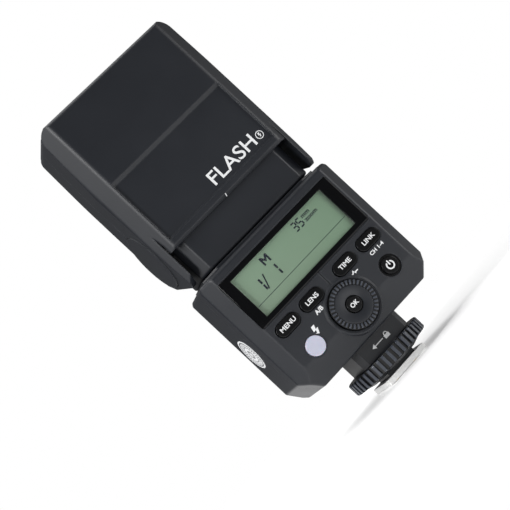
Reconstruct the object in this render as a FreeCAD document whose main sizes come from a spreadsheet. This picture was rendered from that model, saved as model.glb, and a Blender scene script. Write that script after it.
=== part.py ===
import FreeCAD, Part
import math
import os
import re

import Sketcher

# Compact speedlight flash, stored with its head straight up.
# Frame: +Z up, control panel towards -Y, origin at the centre of the hot-shoe foot's underside.

doc = FreeCAD.newDocument("Speedlight")
sheet = doc.addObject("Spreadsheet::Sheet", "Sizes")

DIMENSIONS = {
    # case (the lower half, behind the control panel)
    "case_width": 62.0, "case_rear": -17.0, "case_front": 19.0, "case_bottom": 16.0, "case_top": 67.0,
    "panel_half": 26.3, "side_rear": -12.3, "side_front": 10.0, "front_half": 24.0, "wall": 1.8,
    "side_cut": 6.0, "side_rise": 6.5, "belly_cut": 4.0, "belly_rise": 7.5, "belly_round": 7.0,
    "top_cut": 1.2, "case_seam": -7.0,
    # hot-shoe foot
    "shoe_width": 18.6, "shoe_depth": 18.0, "shoe_thick": 2.0, "post_width": 12.4, "insert_width": 13.0,
    "hub_radius": 10.4, "hub_low": 4.7, "hub_high": 9.6, "neck_foot_width": 22.0, "neck_foot_depth": 20.0,
    "lock_radius": 16.2, "lock_low": 4.7, "lock_high": 9.4, "lock_ribs": 44,
    "clamp_low": 3.4, "clamp_high": 4.4, "pin_radius": 0.8, "pin_reach": 0.4, "lock_pin_y": 5.6,
    # control panel
    "screen_half": 25.7, "screen_low": 43.0, "screen_high": 63.0, "screen_thick": 1.2,
    "glass_half": 22.4, "glass_low": 44.4, "glass_high": 61.6,
    "key_width": 9.6, "key_height": 4.8, "key_row": 38.2, "key_outer": 19.8, "key_inner": 8.2,
    "key_proud": 0.6, "key_travel": 0.4, "key_gap": 0.2, "switch_face": -11.45,
    "dial_height": 27.2, "dial_radius": 8.3, "boss_radius": 9.9, "dial_teeth": 30,
    "set_radius": 2.7, "test_radius": 3.4, "power_radius": 3.0, "round_key_x": 18.6,
    # batteries and their door
    "cell_radius": 7.2, "cell_length": 50.5, "cell_left": -25.0, "cell_low": 29.6, "cell_pitch": 14.8,
    "cell_y": 1.4, "door_low": 22.3, "door_high": 52.3, "door_rear": -6.6, "door_thick": 1.6,
    "door_travel": 4.0, "door_axis_x": 29.7, "door_axis_y": 9.0, "door_knuckle": 1.2,
    # swivel
    "swivel_y": 2.0, "shaft_radius": 8.5, "plate_thick": 1.0, "running_gap": 0.06,
    # neck
    "neck_half": 26.0, "neck_flat": 22.0, "neck_rear": -11.5, "neck_front": 14.0, "neck_bottom": 68.4,
    "neck_seam": 1.0,
    # head
    "tilt_y": 4.0, "tilt_height": 85.5, "ear_radius": 15.5, "ear_gap": 0.5, "ear_inner": 28.2,
    "heel_y": -8.0, "heel_low": 68.8, "heel_high": 75.5, "toe_y": 9.6, "toe_height": 73.6,
    "cap_radius": 11.4, "cap_depth": 1.9,
    "axle_radius": 4.5, "head_half": 31.0, "head_rear": -14.5, "head_front": 19.5, "head_top": 140.0,
    "head_flat": 25.5, "head_side_rear": -9.0, "head_side_front": 13.5, "head_front_flat": 25.0,
    "rim_low": 81.6, "lip_high": 84.6, "ridge_height": 110.9, "ridge_depth": 0.9, "front_rim": 98.5,
    "cavity_floor": 102.0, "head_seam": 2.5, "head_round": 2.6, "crown_round": 4.2,
    # lamp and its zoom
    "lens_half": 23.4, "lens_rear": -5.4, "lens_front": 15.9, "screw_x": 25.0,
    "lamp_y": 4.8, "card_half": 23.2,
}
for row, (alias, value) in enumerate(DIMENSIONS.items(), start=1):
    sheet.set(f"A{row}", alias.replace("_", " "))
    sheet.set(f"B{row}", str(value))
    sheet.setAlias(f"B{row}", alias)
doc.recompute()


def bound(text):
    """An expression in which each sheet alias points at its cell."""
    return re.sub(r"[a-z]+(?:_[a-z]+)*", lambda word: swap(word.group()), str(text))


def swap(word):
    return f"Sizes.{word}" if word in DIMENSIONS else word


def size(alias):
    return float(sheet.get(alias))


def bind(item, **expressions):
    for prop, text in expressions.items():
        item.setExpression(prop, bound(text))


def move(item, x, y, z):
    for axis, text in zip("xyz", (x, y, z)):
        item.setExpression(f"Placement.Base.{axis}", bound(text))


# ---------------------------------------------------------------- simple solids

def block(name, x_span, y_span, z_span):
    """A box between pairs of coordinates."""
    item = doc.addObject("Part::Box", name)
    spans = (x_span, y_span, z_span)
    for prop, (low, high) in zip(("Length", "Width", "Height"), spans):
        item.setExpression(prop, bound(f"({high}) - ({low})"))
    move(item, *(low for low, high in spans))
    return item


TURN_TO = {
    "x": FreeCAD.Rotation(FreeCAD.Vector(0, 1, 0), 90),
    "y": FreeCAD.Rotation(FreeCAD.Vector(1, 0, 0), -90),
    "z": FreeCAD.Rotation(),
}


def put_on_axis(item, axis, start, across):
    item.Placement = FreeCAD.Placement(FreeCAD.Vector(), TURN_TO[axis])
    first, second = across
    spots = {"x": (start, first, second), "y": (first, start, second), "z": (first, second, start)}
    move(item, *spots[axis])


def rod(name, axis, radius, span, across=(0, 0)):
    """A cylinder along axis between the two coordinates of span, at the other two coordinates."""
    item = doc.addObject("Part::Cylinder", name)
    bind(item, Radius=radius, Height=f"({span[1]}) - ({span[0]})")
    put_on_axis(item, axis, span[0], across)
    return item


def cone(name, low_radius, high_radius, span, across=(0, 0)):
    item = doc.addObject("Part::Cone", name)
    bind(item, Radius1=low_radius, Radius2=high_radius, Height=f"({span[1]}) - ({span[0]})")
    put_on_axis(item, "z", span[0], across)
    return item


def fuse(name, *items):
    item = doc.addObject("Part::MultiFuse", name)
    item.Shapes = list(items)
    item.Refine = True
    return item


def common(name, *items):
    item = doc.addObject("Part::MultiCommon", name)
    item.Shapes = list(items)
    return item


def cut(name, base, *tools):
    item = doc.addObject("Part::Cut", name)
    item.Base = base
    item.Tool = tools[0] if len(tools) == 1 else fuse(f"{name}_tools", *tools)
    item.Refine = True
    return item


def group(name, *items):
    """Separate identical solids that share one node."""
    item = doc.addObject("Part::Compound", name)
    item.Links = list(items)
    return item


def tube(name, axis, outer, inner, span, across=(0, 0)):
    return cut(name, rod(f"{name}_outer", axis, outer, span, across),
               rod(f"{name}_inner", axis, inner, span, across))


def soften(name, base, radius, pick):
    """Round the edges of base whose midpoint and direction pass the pick test."""
    doc.recompute()
    item = doc.addObject("Part::Fillet", name)
    item.Base = base
    item.Edges = [(number, radius, radius) for number, edge in enumerate(base.Shape.Edges, start=1)
                  if pick(edge)]
    return item


# ---------------------------------------------------------------- sketched bodies

def plane_of(body, role):
    return next(part for part in body.Origin.OriginFeatures if part.Role == role)


def sketch_on(body, name, role, offset="0"):
    sketch = body.newObject("Sketcher::SketchObject", name)
    sketch.AttachmentSupport = [(plane_of(body, role), "")]
    sketch.MapMode = "FlatFace"
    sketch.setExpression("AttachmentOffset.Base.z", bound(offset))
    return sketch


def polygon(sketch, corners):
    """A closed outline whose corners are pairs of sheet expressions."""
    last = len(corners) - 1
    start = [FreeCAD.Vector(math.cos(2 * math.pi * i / len(corners)),
                            math.sin(2 * math.pi * i / len(corners)), 0)
             for i in range(len(corners))]
    for i in range(len(corners)):
        sketch.addGeometry(Part.LineSegment(start[i], start[0 if i == last else i + 1]), False)
    for i in range(len(corners)):
        sketch.addConstraint(Sketcher.Constraint("Coincident", i, 2, 0 if i == last else i + 1, 1))
    for i, (across, up) in enumerate(corners):
        for kind, text in (("DistanceX", across), ("DistanceY", up)):
            number = sketch.addConstraint(Sketcher.Constraint(kind, -1, 1, i, 1, 1.0))
            sketch.setExpression(f"Constraints[{number}]", bound(text))


def circle(sketch, radius, across="0", up="0"):
    number = sketch.addGeometry(Part.Circle(FreeCAD.Vector(0.1, 0.1, 0), FreeCAD.Vector(0, 0, 1), 1), False)
    for kind, text in (("DistanceX", across), ("DistanceY", up)):
        if str(text) == "0":
            axis = -2 if kind == "DistanceX" else -1
            sketch.addConstraint(Sketcher.Constraint("PointOnObject", number, 3, axis))
        else:
            spot = sketch.addConstraint(Sketcher.Constraint(kind, -1, 1, number, 3, 0.1))
            sketch.setExpression(f"Constraints[{spot}]", bound(text))
    ring = sketch.addConstraint(Sketcher.Constraint("Radius", number, 1.0))
    sketch.setExpression(f"Constraints[{ring}]", bound(radius))


def pad(body, sketch, length):
    item = body.newObject("PartDesign::Pad", f"{sketch.Name}_pad")
    item.Profile = sketch
    bind(item, Length=length)
    body.Tip = item
    return item


def prism(name, view, corners, span):
    """A sketched outline padded along one axis: view is top (x, y), back (x, z) or side (y, z)."""
    low, high = span
    role, offset = {"top": ("XY_Plane", low), "back": ("XZ_Plane", f"-({high})"),
                    "side": ("YZ_Plane", low)}[view]
    body = doc.addObject("PartDesign::Body", name)
    sketch = sketch_on(body, f"{name}_outline", role, offset)
    polygon(sketch, corners)
    pad(body, sketch, f"({high}) - ({low})")
    return body


def round_edges(body, radius, pick):
    doc.recompute()
    base = body.Tip
    names = [f"Edge{n}" for n, edge in enumerate(base.Shape.Edges, start=1) if pick(edge)]
    item = body.newObject("PartDesign::Fillet", f"{body.Name}_round")
    item.Base = (base, names)
    bind(item, Radius=radius)
    body.Tip = item
    return body


def mirrored(right_side):
    """An outline symmetric about x = 0 from its right half, given bottom to top."""
    left_side = [(f"-({across})", up) for across, up in reversed(right_side)]
    return right_side + left_side


def runs_along(edge, axis, **near):
    """True for a straight edge along axis whose midpoint matches the given coordinates."""
    if edge.Curve.TypeId != "Part::GeomLine":
        return False
    middle = edge.CenterOfMass
    direction = edge.tangentAt(edge.FirstParameter)
    close = all(abs(getattr(middle, key) - value) < 0.05 for key, value in near.items())
    return abs(getattr(direction, axis)) > 0.99 and close


def radial_pattern(body, feature, axis_role, count):
    pattern = body.newObject("PartDesign::PolarPattern", f"{body.Name}_pattern")
    pattern.Originals = [feature]
    axis = next(part for part in body.Origin.OriginFeatures if part.Role == axis_role)
    pattern.Axis = (axis, [""])
    pattern.Angle = 360
    bind(pattern, Occurrences=count)
    body.Tip = pattern
    return pattern


# ---------------------------------------------------------------- case shells

def case_solid(name, inset):
    """The case's faceted outer form, or the same form moved in by inset."""
    half = f"case_width / 2 - {inset}"
    slide = f"0.41 * {inset}"
    top_view = mirrored([(f"panel_half - {slide}", f"case_rear + {inset}"), (half, f"side_rear + {slide}"),
                         (half, f"side_front - {slide}"),
                         (f"front_half - {slide}", f"case_front - {inset}")])
    back_view = mirrored([(f"case_width / 2 - side_cut - {slide}", f"case_bottom + {inset}"),
                          (half, f"case_bottom + side_rise + {slide}"), (half, "case_top - top_cut"),
                          (f"case_width / 2 - top_cut - {inset}", f"case_top - {inset}")])
    side_view = [(f"case_rear + belly_cut + {slide}", f"case_bottom + {inset}"),
                 (f"case_front - belly_cut - {slide}", f"case_bottom + {inset}"),
                 (f"case_front - {inset}", f"case_bottom + belly_rise"),
                 (f"case_front - {inset}", "case_top - top_cut"),
                 (f"case_front - top_cut - {inset}", f"case_top - {inset}"),
                 (f"case_rear + top_cut + {inset}", f"case_top - {inset}"),
                 (f"case_rear + {inset}", "case_top - top_cut"),
                 (f"case_rear + {inset}", "case_bottom + belly_rise")]
    plan = prism(f"{name}_plan", "top", top_view, ("case_bottom", "case_top"))
    back = prism(f"{name}_back", "back", back_view, ("case_rear - 1", "case_front + 1"))
    side = prism(f"{name}_side", "side", side_view, ("-case_width / 2 - 1", "case_width / 2 + 1"))
    shoulder = size("case_bottom") + size("belly_rise")
    round_edges(side, "belly_round", lambda edge: runs_along(edge, "x", z=shoulder))
    return common(name, plan, back, side)


def any_edge(edge):
    return True


KEYS = {"mode_button": "-key_outer", "zoom_button": "-key_inner", "sync_button": "key_inner",
        "link_button": "key_outer"}


def pill(name, x_spot, depth_span, grow="0"):
    """A key cap with round ends, lying along X on the control panel."""
    radius = f"(key_height / 2 + {grow})"
    reach = "(key_width - key_height) / 2"
    middle = block(f"{name}_middle", (f"{x_spot} - {reach}", f"{x_spot} + {reach}"), depth_span,
                   (f"key_row - {radius}", f"key_row + {radius}"))
    ends = [rod(f"{name}_end_{side}", "y", radius, depth_span, (f"{x_spot} {sign} {reach}", "key_row"))
            for side, sign in (("left", "-"), ("right", "+"))]
    return fuse(name, middle, *ends)


def make_rear_shell(skin):
    half = block("rear_half", ("-case_width", "case_width"), ("case_rear - 2", "case_seam"),
                 ("case_bottom - 1", "case_top + 1"))
    through = ("case_rear - 1", "case_seam - 3.5")
    boss = rod("dial_boss", "y", "boss_radius", ("case_rear - 0.3", "case_rear + wall"), (0, "dial_height"))
    apron = common("boss_apron", rod("apron_blank", "y", "boss_radius", ("case_rear", "-12"),
                                     (0, "dial_height")),
                   block("apron_half", ("-12", "12"), ("case_rear", "-12"),
                         ("case_bottom", "dial_height - 3")))
    openings = [
        block("screen_recess", ("-screen_half - 0.1", "screen_half + 0.1"),
              ("case_rear - 1", "case_rear + screen_thick - 0.2"),
              ("screen_low - 0.1", "screen_high + 0.1")),
        block("glass_opening", ("-glass_half - 0.2", "glass_half + 0.2"), through,
              ("glass_low - 0.2", "glass_high + 0.2")),
        block("dial_groove", ("-0.25", "0.25"), ("case_rear - 1", "case_rear + 0.3"),
              ("dial_height + boss_radius", "screen_low")),
        rod("dial_well", "y", "dial_radius + 0.4", ("case_rear - 1", "case_rear + 1.1"), (0, "dial_height")),
        rod("dial_bore", "y", "3.7 + running_gap", through, (0, "dial_height")),
        rod("dial_back_room", "y", "dial_radius - 0.1", ("case_rear + 2.8", "-11"), (0, "dial_height")),
        rod("test_hole", "y", "test_radius + key_gap", through, ("-round_key_x", "dial_height")),
        rod("power_hole", "y", "power_radius + key_gap", through, ("round_key_x", "dial_height")),
        rod("power_dish", "y", "power_radius + 0.9", ("case_rear - 1", "case_rear + 0.4"),
            ("round_key_x", "dial_height")),
    ]
    openings += [pill(f"{name}_hole", spot, through, "key_gap") for name, spot in KEYS.items()]
    openings += [rod(f"{side}_flange_room", "y", "test_radius + 1", ("case_rear + wall", "case_seam - 3.5"),
                     (f"{sign}round_key_x", "dial_height")) for side, sign in (("left", "-"), ("right", ""))]
    panel = fuse("rear_skin", common("rear_part", skin, half), boss, apron)
    return cut("rear_shell", panel, *openings)


def make_front_shell(skin, outer):
    half = block("front_half_space", ("-case_width", "case_width"), ("case_seam", "case_front + 2"),
                 ("case_bottom - 1", "case_top + 1"))
    door_frame = block("door_frame", ("27", "case_width / 2"), ("case_seam", "door_axis_y + 3.6"),
                       ("door_low - 0.2", "door_high + door_travel + 1.6"))
    pads_for_door = common("door_frame_trimmed", door_frame, outer)
    side = ("case_width / 2 - door_thick - 0.2", "case_width / 2 + 1")
    door_top = "door_high + door_travel + 0.3"
    openings = [
        rod("swivel_bore", "z", "shaft_radius + running_gap", ("case_top - 5", "case_top + 1"),
            (0, "swivel_y")),
        block("door_recess", side, ("door_rear - 0.2", "door_axis_y + door_knuckle + 1"),
              ("door_low - 0.2", door_top)),
        block("knuckle_groove", ("door_axis_x - door_knuckle - 0.2", "case_width / 2 + 1"),
              ("door_axis_y - door_knuckle - 0.4", "door_axis_y + door_knuckle + 0.2"),
              ("door_low - 0.2", door_top)),
        block("cell_opening", ("24", "case_width / 2 + 1"),
              ("cell_y - cell_radius - 0.3", "door_axis_y - 1.8"),
              ("door_low + 0.1", "door_high - 0.4")),
        block("window_opening", ("-14", "14"), ("case_front - 3", "case_front + 1"), ("28", "46")),
        block("port_opening", ("27", "case_width / 2 + 1"), ("-4.2", "4.2"), ("58.8", "62.2")),
        block("flap_recess", ("case_width / 2 - 1.1", "case_width / 2 + 1"), ("-5.4", "6.2"),
              ("57.9", "63.1")),
        rod("foot_room", "z", "6", ("case_bottom - 1", "case_bottom + 3"), (0, 0)),
    ]
    openings += [rod(f"foot_screw_hole_{i}", "z", "1", ("case_bottom - 1", "case_bottom + 2"), spot)
                 for i, spot in enumerate(FOOT_SCREW_SPOTS)]
    openings += [rod(f"case_screw_seat_{i}", "y", "1.8", ("case_front - 1.3", "case_front + 1"), (x, z))
                 for i, (x, z) in enumerate(CASE_SCREW_SPOTS)]
    openings += [rod(f"case_screw_bore_{i}", "y", "0.9", ("case_front - 9", "case_front + 1"), (x, z))
                 for i, (x, z) in enumerate(CASE_SCREW_SPOTS)]
    posts = [rod(f"case_screw_post_{i}", "y", "2.6", ("case_front - 6", "case_front - 1"), (x, z))
             for i, (x, z) in enumerate(CASE_SCREW_SPOTS)]
    port_rim = block("port_rim", ("27.2", "case_width / 2 - 1.2"), ("-5.6", "6.4"), ("57.7", "63.3"))
    whole = fuse("front_skin", common("front_part", skin, half), pads_for_door, port_rim, *posts)
    return cut("front_shell", whole, *openings)


CASE_SCREW_SPOTS = [(x, z) for x in ("-20", "20") for z in ("27", "60")]


def screws(name, axis, head_span, shank_span, spots, head_radius="1.6", shank_radius="0.9"):
    bodies = []
    for i, spot in enumerate(spots):
        head = rod(f"{name}_head_{i}", axis, head_radius, head_span, spot)
        shank = rod(f"{name}_shank_{i}", axis, shank_radius, shank_span, spot)
        bodies.append(fuse(f"{name}_{i}", head, shank))
    return group(name, *bodies)


# ---------------------------------------------------------------- hot-shoe foot

CONTACT_SPOTS = [("0", "0"), ("-4.5", "-4.6"), ("4.5", "-4.6"), ("-4.5", "3.4")]


def make_foot():
    plate = block("plate_blank", ("-shoe_width / 2", "shoe_width / 2"),
                  ("-shoe_depth / 2", "shoe_depth / 2"),
                  ("0", "shoe_thick"))
    window = block("plate_window", ("-insert_width / 2", "insert_width / 2"),
                   ("-shoe_depth / 2 + 1.8", "shoe_depth / 2 - 1.2"), ("-1", "shoe_thick + 1"))
    notch = block("plate_notch", ("-shoe_width / 2 - 1", "-shoe_width / 2 + 1"),
                  ("-shoe_depth / 2 - 1", "-shoe_depth / 2 + 1.4"), ("-1", "shoe_thick + 1"))
    shoe_plate = cut("shoe_plate", plate, window, notch)

    insert = block("insert_blank", ("-insert_width / 2", "insert_width / 2"),
                   ("-shoe_depth / 2 + 1.8", "shoe_depth / 2 - 1.2"), ("0", "shoe_thick"))
    bores = [rod(f"contact_bore_{i}", "z", "pin_radius + running_gap", ("-1", "shoe_thick + 2.2"), spot)
             for i, spot in enumerate(CONTACT_SPOTS)]
    lock_bore = rod("lock_pin_bore", "z", "0.9 + running_gap", ("-1", "8"), (0, "lock_pin_y"))
    insulator = cut("shoe_insulator", insert, *bores, lock_bore)

    post = block("foot_post", ("-post_width / 2", "post_width / 2"),
                 ("-post_width / 2 - 0.6", "post_width / 2 + 0.6"),
                 ("shoe_thick", "hub_low"))
    hub = rod("foot_hub", "z", "hub_radius", ("hub_low", "hub_high"))
    neck = prism("foot_neck", "top", mirrored([
        ("neck_foot_width / 2 - 2", "-neck_foot_depth / 2"),
        ("neck_foot_width / 2", "-neck_foot_depth / 2 + 2"),
        ("neck_foot_width / 2", "neck_foot_depth / 2 - 2"),
        ("neck_foot_width / 2 - 2", "neck_foot_depth / 2")]),
        ("hub_high", "case_bottom"))
    stub = rod("foot_stub", "z", "6", ("case_bottom - 0.5", "case_bottom + 3"))
    tunnels = [rod(f"screw_tunnel_{i}", "z", "0.9", ("case_bottom - 3", "case_bottom + 1"), spot)
               for i, spot in enumerate(FOOT_SCREW_SPOTS)]
    room = [rod(f"contact_room_{i}", "z", "pin_radius + running_gap",
                ("shoe_thick - 1", "shoe_thick + 2.4"), spot)
            for i, spot in enumerate(CONTACT_SPOTS)]
    lock_room = rod("lock_pin_room", "z", "0.9 + running_gap", ("shoe_thick - 1", "8"), (0, "lock_pin_y"))
    foot = cut("foot_block", fuse("foot_blank", post, hub, neck, stub), *tunnels, *room, lock_room)
    return [shoe_plate, insulator, foot]


FOOT_SCREW_SPOTS = [(x, y) for x in ("-8", "8") for y in ("-5", "5")]


def make_contacts():
    pins = []
    for i, spot in enumerate(CONTACT_SPOTS, start=1):
        pins.append(rod(f"contact_pin_{i}", "z", "pin_radius", ("-pin_reach", "shoe_thick + 1.2"), spot))
    return pins


def make_lock_ring():
    """Knurled lock ring: a padded annulus with a groove repeated round its rim."""
    body = doc.addObject("PartDesign::Body", "lock_ring")
    outline = sketch_on(body, "lock_ring_outline", "XY_Plane", "lock_low")
    circle(outline, "lock_radius")
    circle(outline, "hub_radius + running_gap")
    pad(body, outline, "lock_high - lock_low")
    round_edges(body, "0.7", lambda edge: edge.BoundBox.XLength > 2 * size("lock_radius") - 1)
    groove = sketch_on(body, "lock_groove", "XY_Plane", "lock_low - 1")
    polygon(groove, [("lock_radius - 0.7", "-0.62"), ("lock_radius + 1", "-0.62"),
                     ("lock_radius + 1", "0.62"), ("lock_radius - 0.7", "0.62")])
    slot = body.newObject("PartDesign::Pocket", "lock_groove_cut")
    slot.Profile = groove
    slot.Reversed = True
    bind(slot, Length="lock_high - lock_low + 2")
    body.Tip = slot
    radial_pattern(body, slot, "Z_Axis", "lock_ribs")
    return body


def make_clamp():
    dish = cone("clamp_dish", "10.2", "13.2", ("clamp_low", "clamp_high"))
    hole = block("clamp_hole", ("-post_width / 2 - 0.25", "post_width / 2 + 0.25"),
                 ("-post_width / 2 - 0.85", "post_width / 2 + 0.85"), ("clamp_low - 1", "clamp_high + 1"))
    return cut("clamp_plate", dish, hole)


# ---------------------------------------------------------------- control panel

def make_keys():
    """Each key: a cap in its hole, a flange behind the panel and a stem towards its switch."""
    inner_face = "case_rear + wall"
    cap_span = ("case_rear - key_proud", f"{inner_face} + 0.1")
    flange_span = (f"{inner_face} + 0.1", f"{inner_face} + 0.9")
    stem_span = (f"{inner_face} + 0.9", "switch_face - key_travel - 0.1")
    keys = []
    for name, spot in KEYS.items():
        cap = pill(f"{name}_cap", spot, cap_span)
        soft = soften(f"{name}_soft_cap", cap, 0.3, lambda edge: edge.CenterOfMass.y < size("case_rear"))
        flange = pill(f"{name}_flange", spot, flange_span, "0.7")
        stem = rod(f"{name}_stem", "y", "1.2", stem_span, (spot, "key_row"))
        keys.append(fuse(name, soft, flange, stem))
    for name, spot, radius in (("test_button", "-round_key_x", "test_radius"),
                               ("power_button", "round_key_x", "power_radius")):
        cap = rod(f"{name}_cap", "y", radius, cap_span, (spot, "dial_height"))
        soft = soften(f"{name}_soft_cap", cap, 0.3, lambda edge: edge.CenterOfMass.y < size("case_rear"))
        flange = rod(f"{name}_flange", "y", f"{radius} + 0.7", flange_span, (spot, "dial_height"))
        stem = rod(f"{name}_stem", "y", "1.2", stem_span, (spot, "dial_height"))
        keys.append(fuse(name, soft, flange, stem))
    cap = rod("set_cap", "y", "set_radius", ("case_rear - 1.9", "-13"), (0, "dial_height"))
    stem = rod("set_stem", "y", "1.2", ("-13", "switch_face - key_travel - 0.1"), (0, "dial_height"))
    soft = soften("set_soft_cap", cap, 0.3, lambda edge: edge.CenterOfMass.y < size("case_rear"))
    keys.append(fuse("set_button", soft, stem))
    return keys


def make_dial():
    """Select dial: a toothed disc on a hollow hub, padded from the back plane and moved to its height."""
    body = doc.addObject("PartDesign::Body", "select_dial")
    disc = sketch_on(body, "dial_disc", "XZ_Plane", "-case_rear - 0.8")
    circle(disc, "dial_radius")
    circle(disc, "set_radius + 0.25")
    pad(body, disc, "1.9")
    crown = sketch_on(body, "dial_crown", "XZ_Plane", "-case_rear + 1.1")
    circle(crown, "6.3")
    circle(crown, "set_radius + 0.25")
    pad(body, crown, "0.35")
    notch = sketch_on(body, "dial_notch", "XZ_Plane", "-case_rear - 2")
    polygon(notch, [("dial_radius - 0.75", "-0.38"), ("dial_radius + 1", "-0.38"),
                    ("dial_radius + 1", "0.38"), ("dial_radius - 0.75", "0.38")])
    tooth = body.newObject("PartDesign::Pocket", "dial_tooth_cut")
    tooth.Profile = notch
    tooth.Reversed = True
    bind(tooth, Length="5")
    body.Tip = tooth
    radial_pattern(body, tooth, "Y_Axis", "dial_teeth")
    hub = sketch_on(body, "dial_hub", "XZ_Plane", "12.2")
    circle(hub, "3.7")
    circle(hub, "set_radius + 0.25")
    pad(body, hub, "-case_rear - 0.8 - 12.2 + 0.2")
    move(body, "0", "0", "dial_height")
    return body


def make_screen():
    window = block("screen_blank", ("-screen_half", "screen_half"),
                   ("case_rear - 0.2", "case_rear + screen_thick - 0.2"), ("screen_low", "screen_high"))
    lens = soften("lcd_window", window, 1.2, lambda edge: runs_along(edge, "y"))
    glass = block("lcd_panel", ("-glass_half", "glass_half"), ("case_rear + 1.05", "case_rear + 3.3"),
                  ("glass_low", "glass_high"))
    light = block("lcd_backlight", ("-glass_half - 0.8", "glass_half + 0.8"),
                  ("case_rear + 3.3", "case_rear + 5.3"), ("glass_low - 0.4", "glass_high + 0.4"))
    return [lens, glass, light]


def make_board():
    """Control board with a switch behind each key."""
    board = block("board_blank", ("-26", "26"), ("-9.8", "-8.4"), ("20", "62.5"))
    spots = [(spot, "key_row") for spot in KEYS.values()]
    spots += [("-round_key_x", "dial_height"), ("round_key_x", "dial_height"), ("0", "dial_height")]
    switches = [block(f"switch_{i}", (f"{x} - 1.8", f"{x} + 1.8"), ("switch_face", "-9.8"),
                      (f"{z} - 1.8", f"{z} + 1.8")) for i, (x, z) in enumerate(spots)]
    chips = [block("driver_chip", ("8", "18"), ("-11", "-9.8"), ("46", "56")),
             block("ribbon_socket", ("-20", "4"), ("-11", "-9.8"), ("57", "60"))]
    encoder = cut("dial_encoder", rod("encoder_blank", "y", "6.6", ("-13.6", "-9.8"), (0, "dial_height")),
                  rod("encoder_bore", "y", "4.1", ("-14", "-9"), (0, "dial_height")))
    return [fuse("control_board", board, *switches, *chips), encoder]


# ---------------------------------------------------------------- battery compartment

def make_battery():
    rows = ("cell_low", "cell_low + cell_pitch")
    end = "cell_left + cell_length"
    cells = []
    for i, row in enumerate(rows):
        can = rod(f"cell_can_{i}", "x", "cell_radius", ("cell_left", f"{end} - 1"), ("cell_y", row))
        nub = rod(f"cell_nub_{i}", "x", "2.6", (f"{end} - 1", end), ("cell_y", row))
        cells.append(fuse(f"cell_{i}", can, nub))
    outer = block("box_blank", ("cell_left - 2.2", "26.9"),
                  ("cell_y - cell_radius - 0.9", "cell_y + cell_radius + 0.9"),
                  ("cell_low - cell_radius - 1", "cell_low + cell_pitch + cell_radius + 1"))
    bays = [rod(f"cell_bay_{i}", "x", "cell_radius + 0.3", ("cell_left - 1.4", "28"), ("cell_y", row))
            for i, row in enumerate(rows)]
    mouth = block("box_mouth", ("24", "28"), ("cell_y - cell_radius - 0.3", "cell_y + cell_radius + 0.3"),
                  ("cell_low - cell_radius - 0.2", "cell_low + cell_pitch + cell_radius + 0.2"))
    contacts = [block(f"cell_contact_{i}", ("cell_left - 1.35", "cell_left - 0.1"),
                      ("cell_y - 4", "cell_y + 4"),
                      (f"{row} - 4", f"{row} + 4")) for i, row in enumerate(rows)]
    can = rod("main_capacitor", "x", "5.2", ("-24", "18"), ("3", "58"))
    return [group("battery_cells", *cells), cut("battery_box", outer, *bays, mouth),
            group("battery_contacts", *contacts), can]


def make_door():
    """Battery door on the right side, with one long knuckle round its sliding hinge pin."""
    plate = block("door_blank", ("case_width / 2 - door_thick", "case_width / 2"),
                  ("door_rear", "door_axis_y"),
                  ("door_low", "door_high"))
    ribs = [block(f"door_rib_{i}", ("case_width / 2 - 0.5", "case_width / 2 + 0.3"), ("-4", "5"),
                  (f"door_high - {4 + 1.6 * i}", f"door_high - {3.2 + 1.6 * i}")) for i in range(5)]
    knuckle = rod("door_tube", "z", "door_knuckle", ("door_low", "door_high"),
                  ("door_axis_x", "door_axis_y"))
    bore = rod("door_bore", "z", "0.6 + running_gap", ("door_low - 1", "door_high + 1"),
               ("door_axis_x", "door_axis_y"))
    door = cut("battery_door", fuse("door_body", plate, knuckle, *ribs), bore)
    pin = rod("door_pin", "z", "0.6", ("door_low - 0.1", "door_high + 0.1"), ("door_axis_x", "door_axis_y"))
    return [door, pin]


def make_side_parts():
    shell = block("port_blank", ("24", "case_width / 2 - 2"), ("-4", "4"), ("59", "62"))
    mouth = block("port_mouth", ("26", "case_width / 2"), ("-3.6", "3.6"), ("59.3", "61.7"))
    port = cut("usb_port", shell, mouth)
    leaf = block("flap_leaf", ("case_width / 2 - 0.9", "case_width / 2"), ("-5.1", "5"), ("58.2", "62.8"))
    roll = rod("flap_roll", "z", "0.55", ("58.2", "62.8"), ("case_width / 2 - 0.5", "5.2"))
    cover = fuse("port_cover", leaf, roll)
    sticker = rod("seal_sticker", "x", "6.2", ("-case_width / 2 - 0.12", "-case_width / 2"), ("0.8", "40.3"))
    return [port, cover, sticker]


def make_front_parts():
    window = block("sensor_window_blank", ("-13.8", "13.8"), ("case_front - 1.6", "case_front + 0.3"),
                   ("28.2", "45.8"))
    pane = soften("sensor_pane", window, 1.0, lambda edge: runs_along(edge, "y"))
    rim = block("sensor_rim", ("-15", "15"), ("case_front - wall - 0.8", "case_front - wall"), ("27", "47"))
    link = block("sensor_link", ("-13.8", "13.8"), ("case_front - wall - 0.1", "case_front - 1.5"),
                 ("28.2", "45.8"))
    window = fuse("sensor_window", pane, link, rim)
    dome = rod("lamp_dome", "y", "2.5", ("case_front - 5.4", "case_front - 2.8"), ("5", "37"))
    base = block("lamp_base", ("1.5", "8.5"), ("case_front - 7", "case_front - 5.4"), ("33.5", "40.5"))
    return [window, fuse("focus_lamp", dome, base)]


# ---------------------------------------------------------------- swivel and neck

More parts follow.
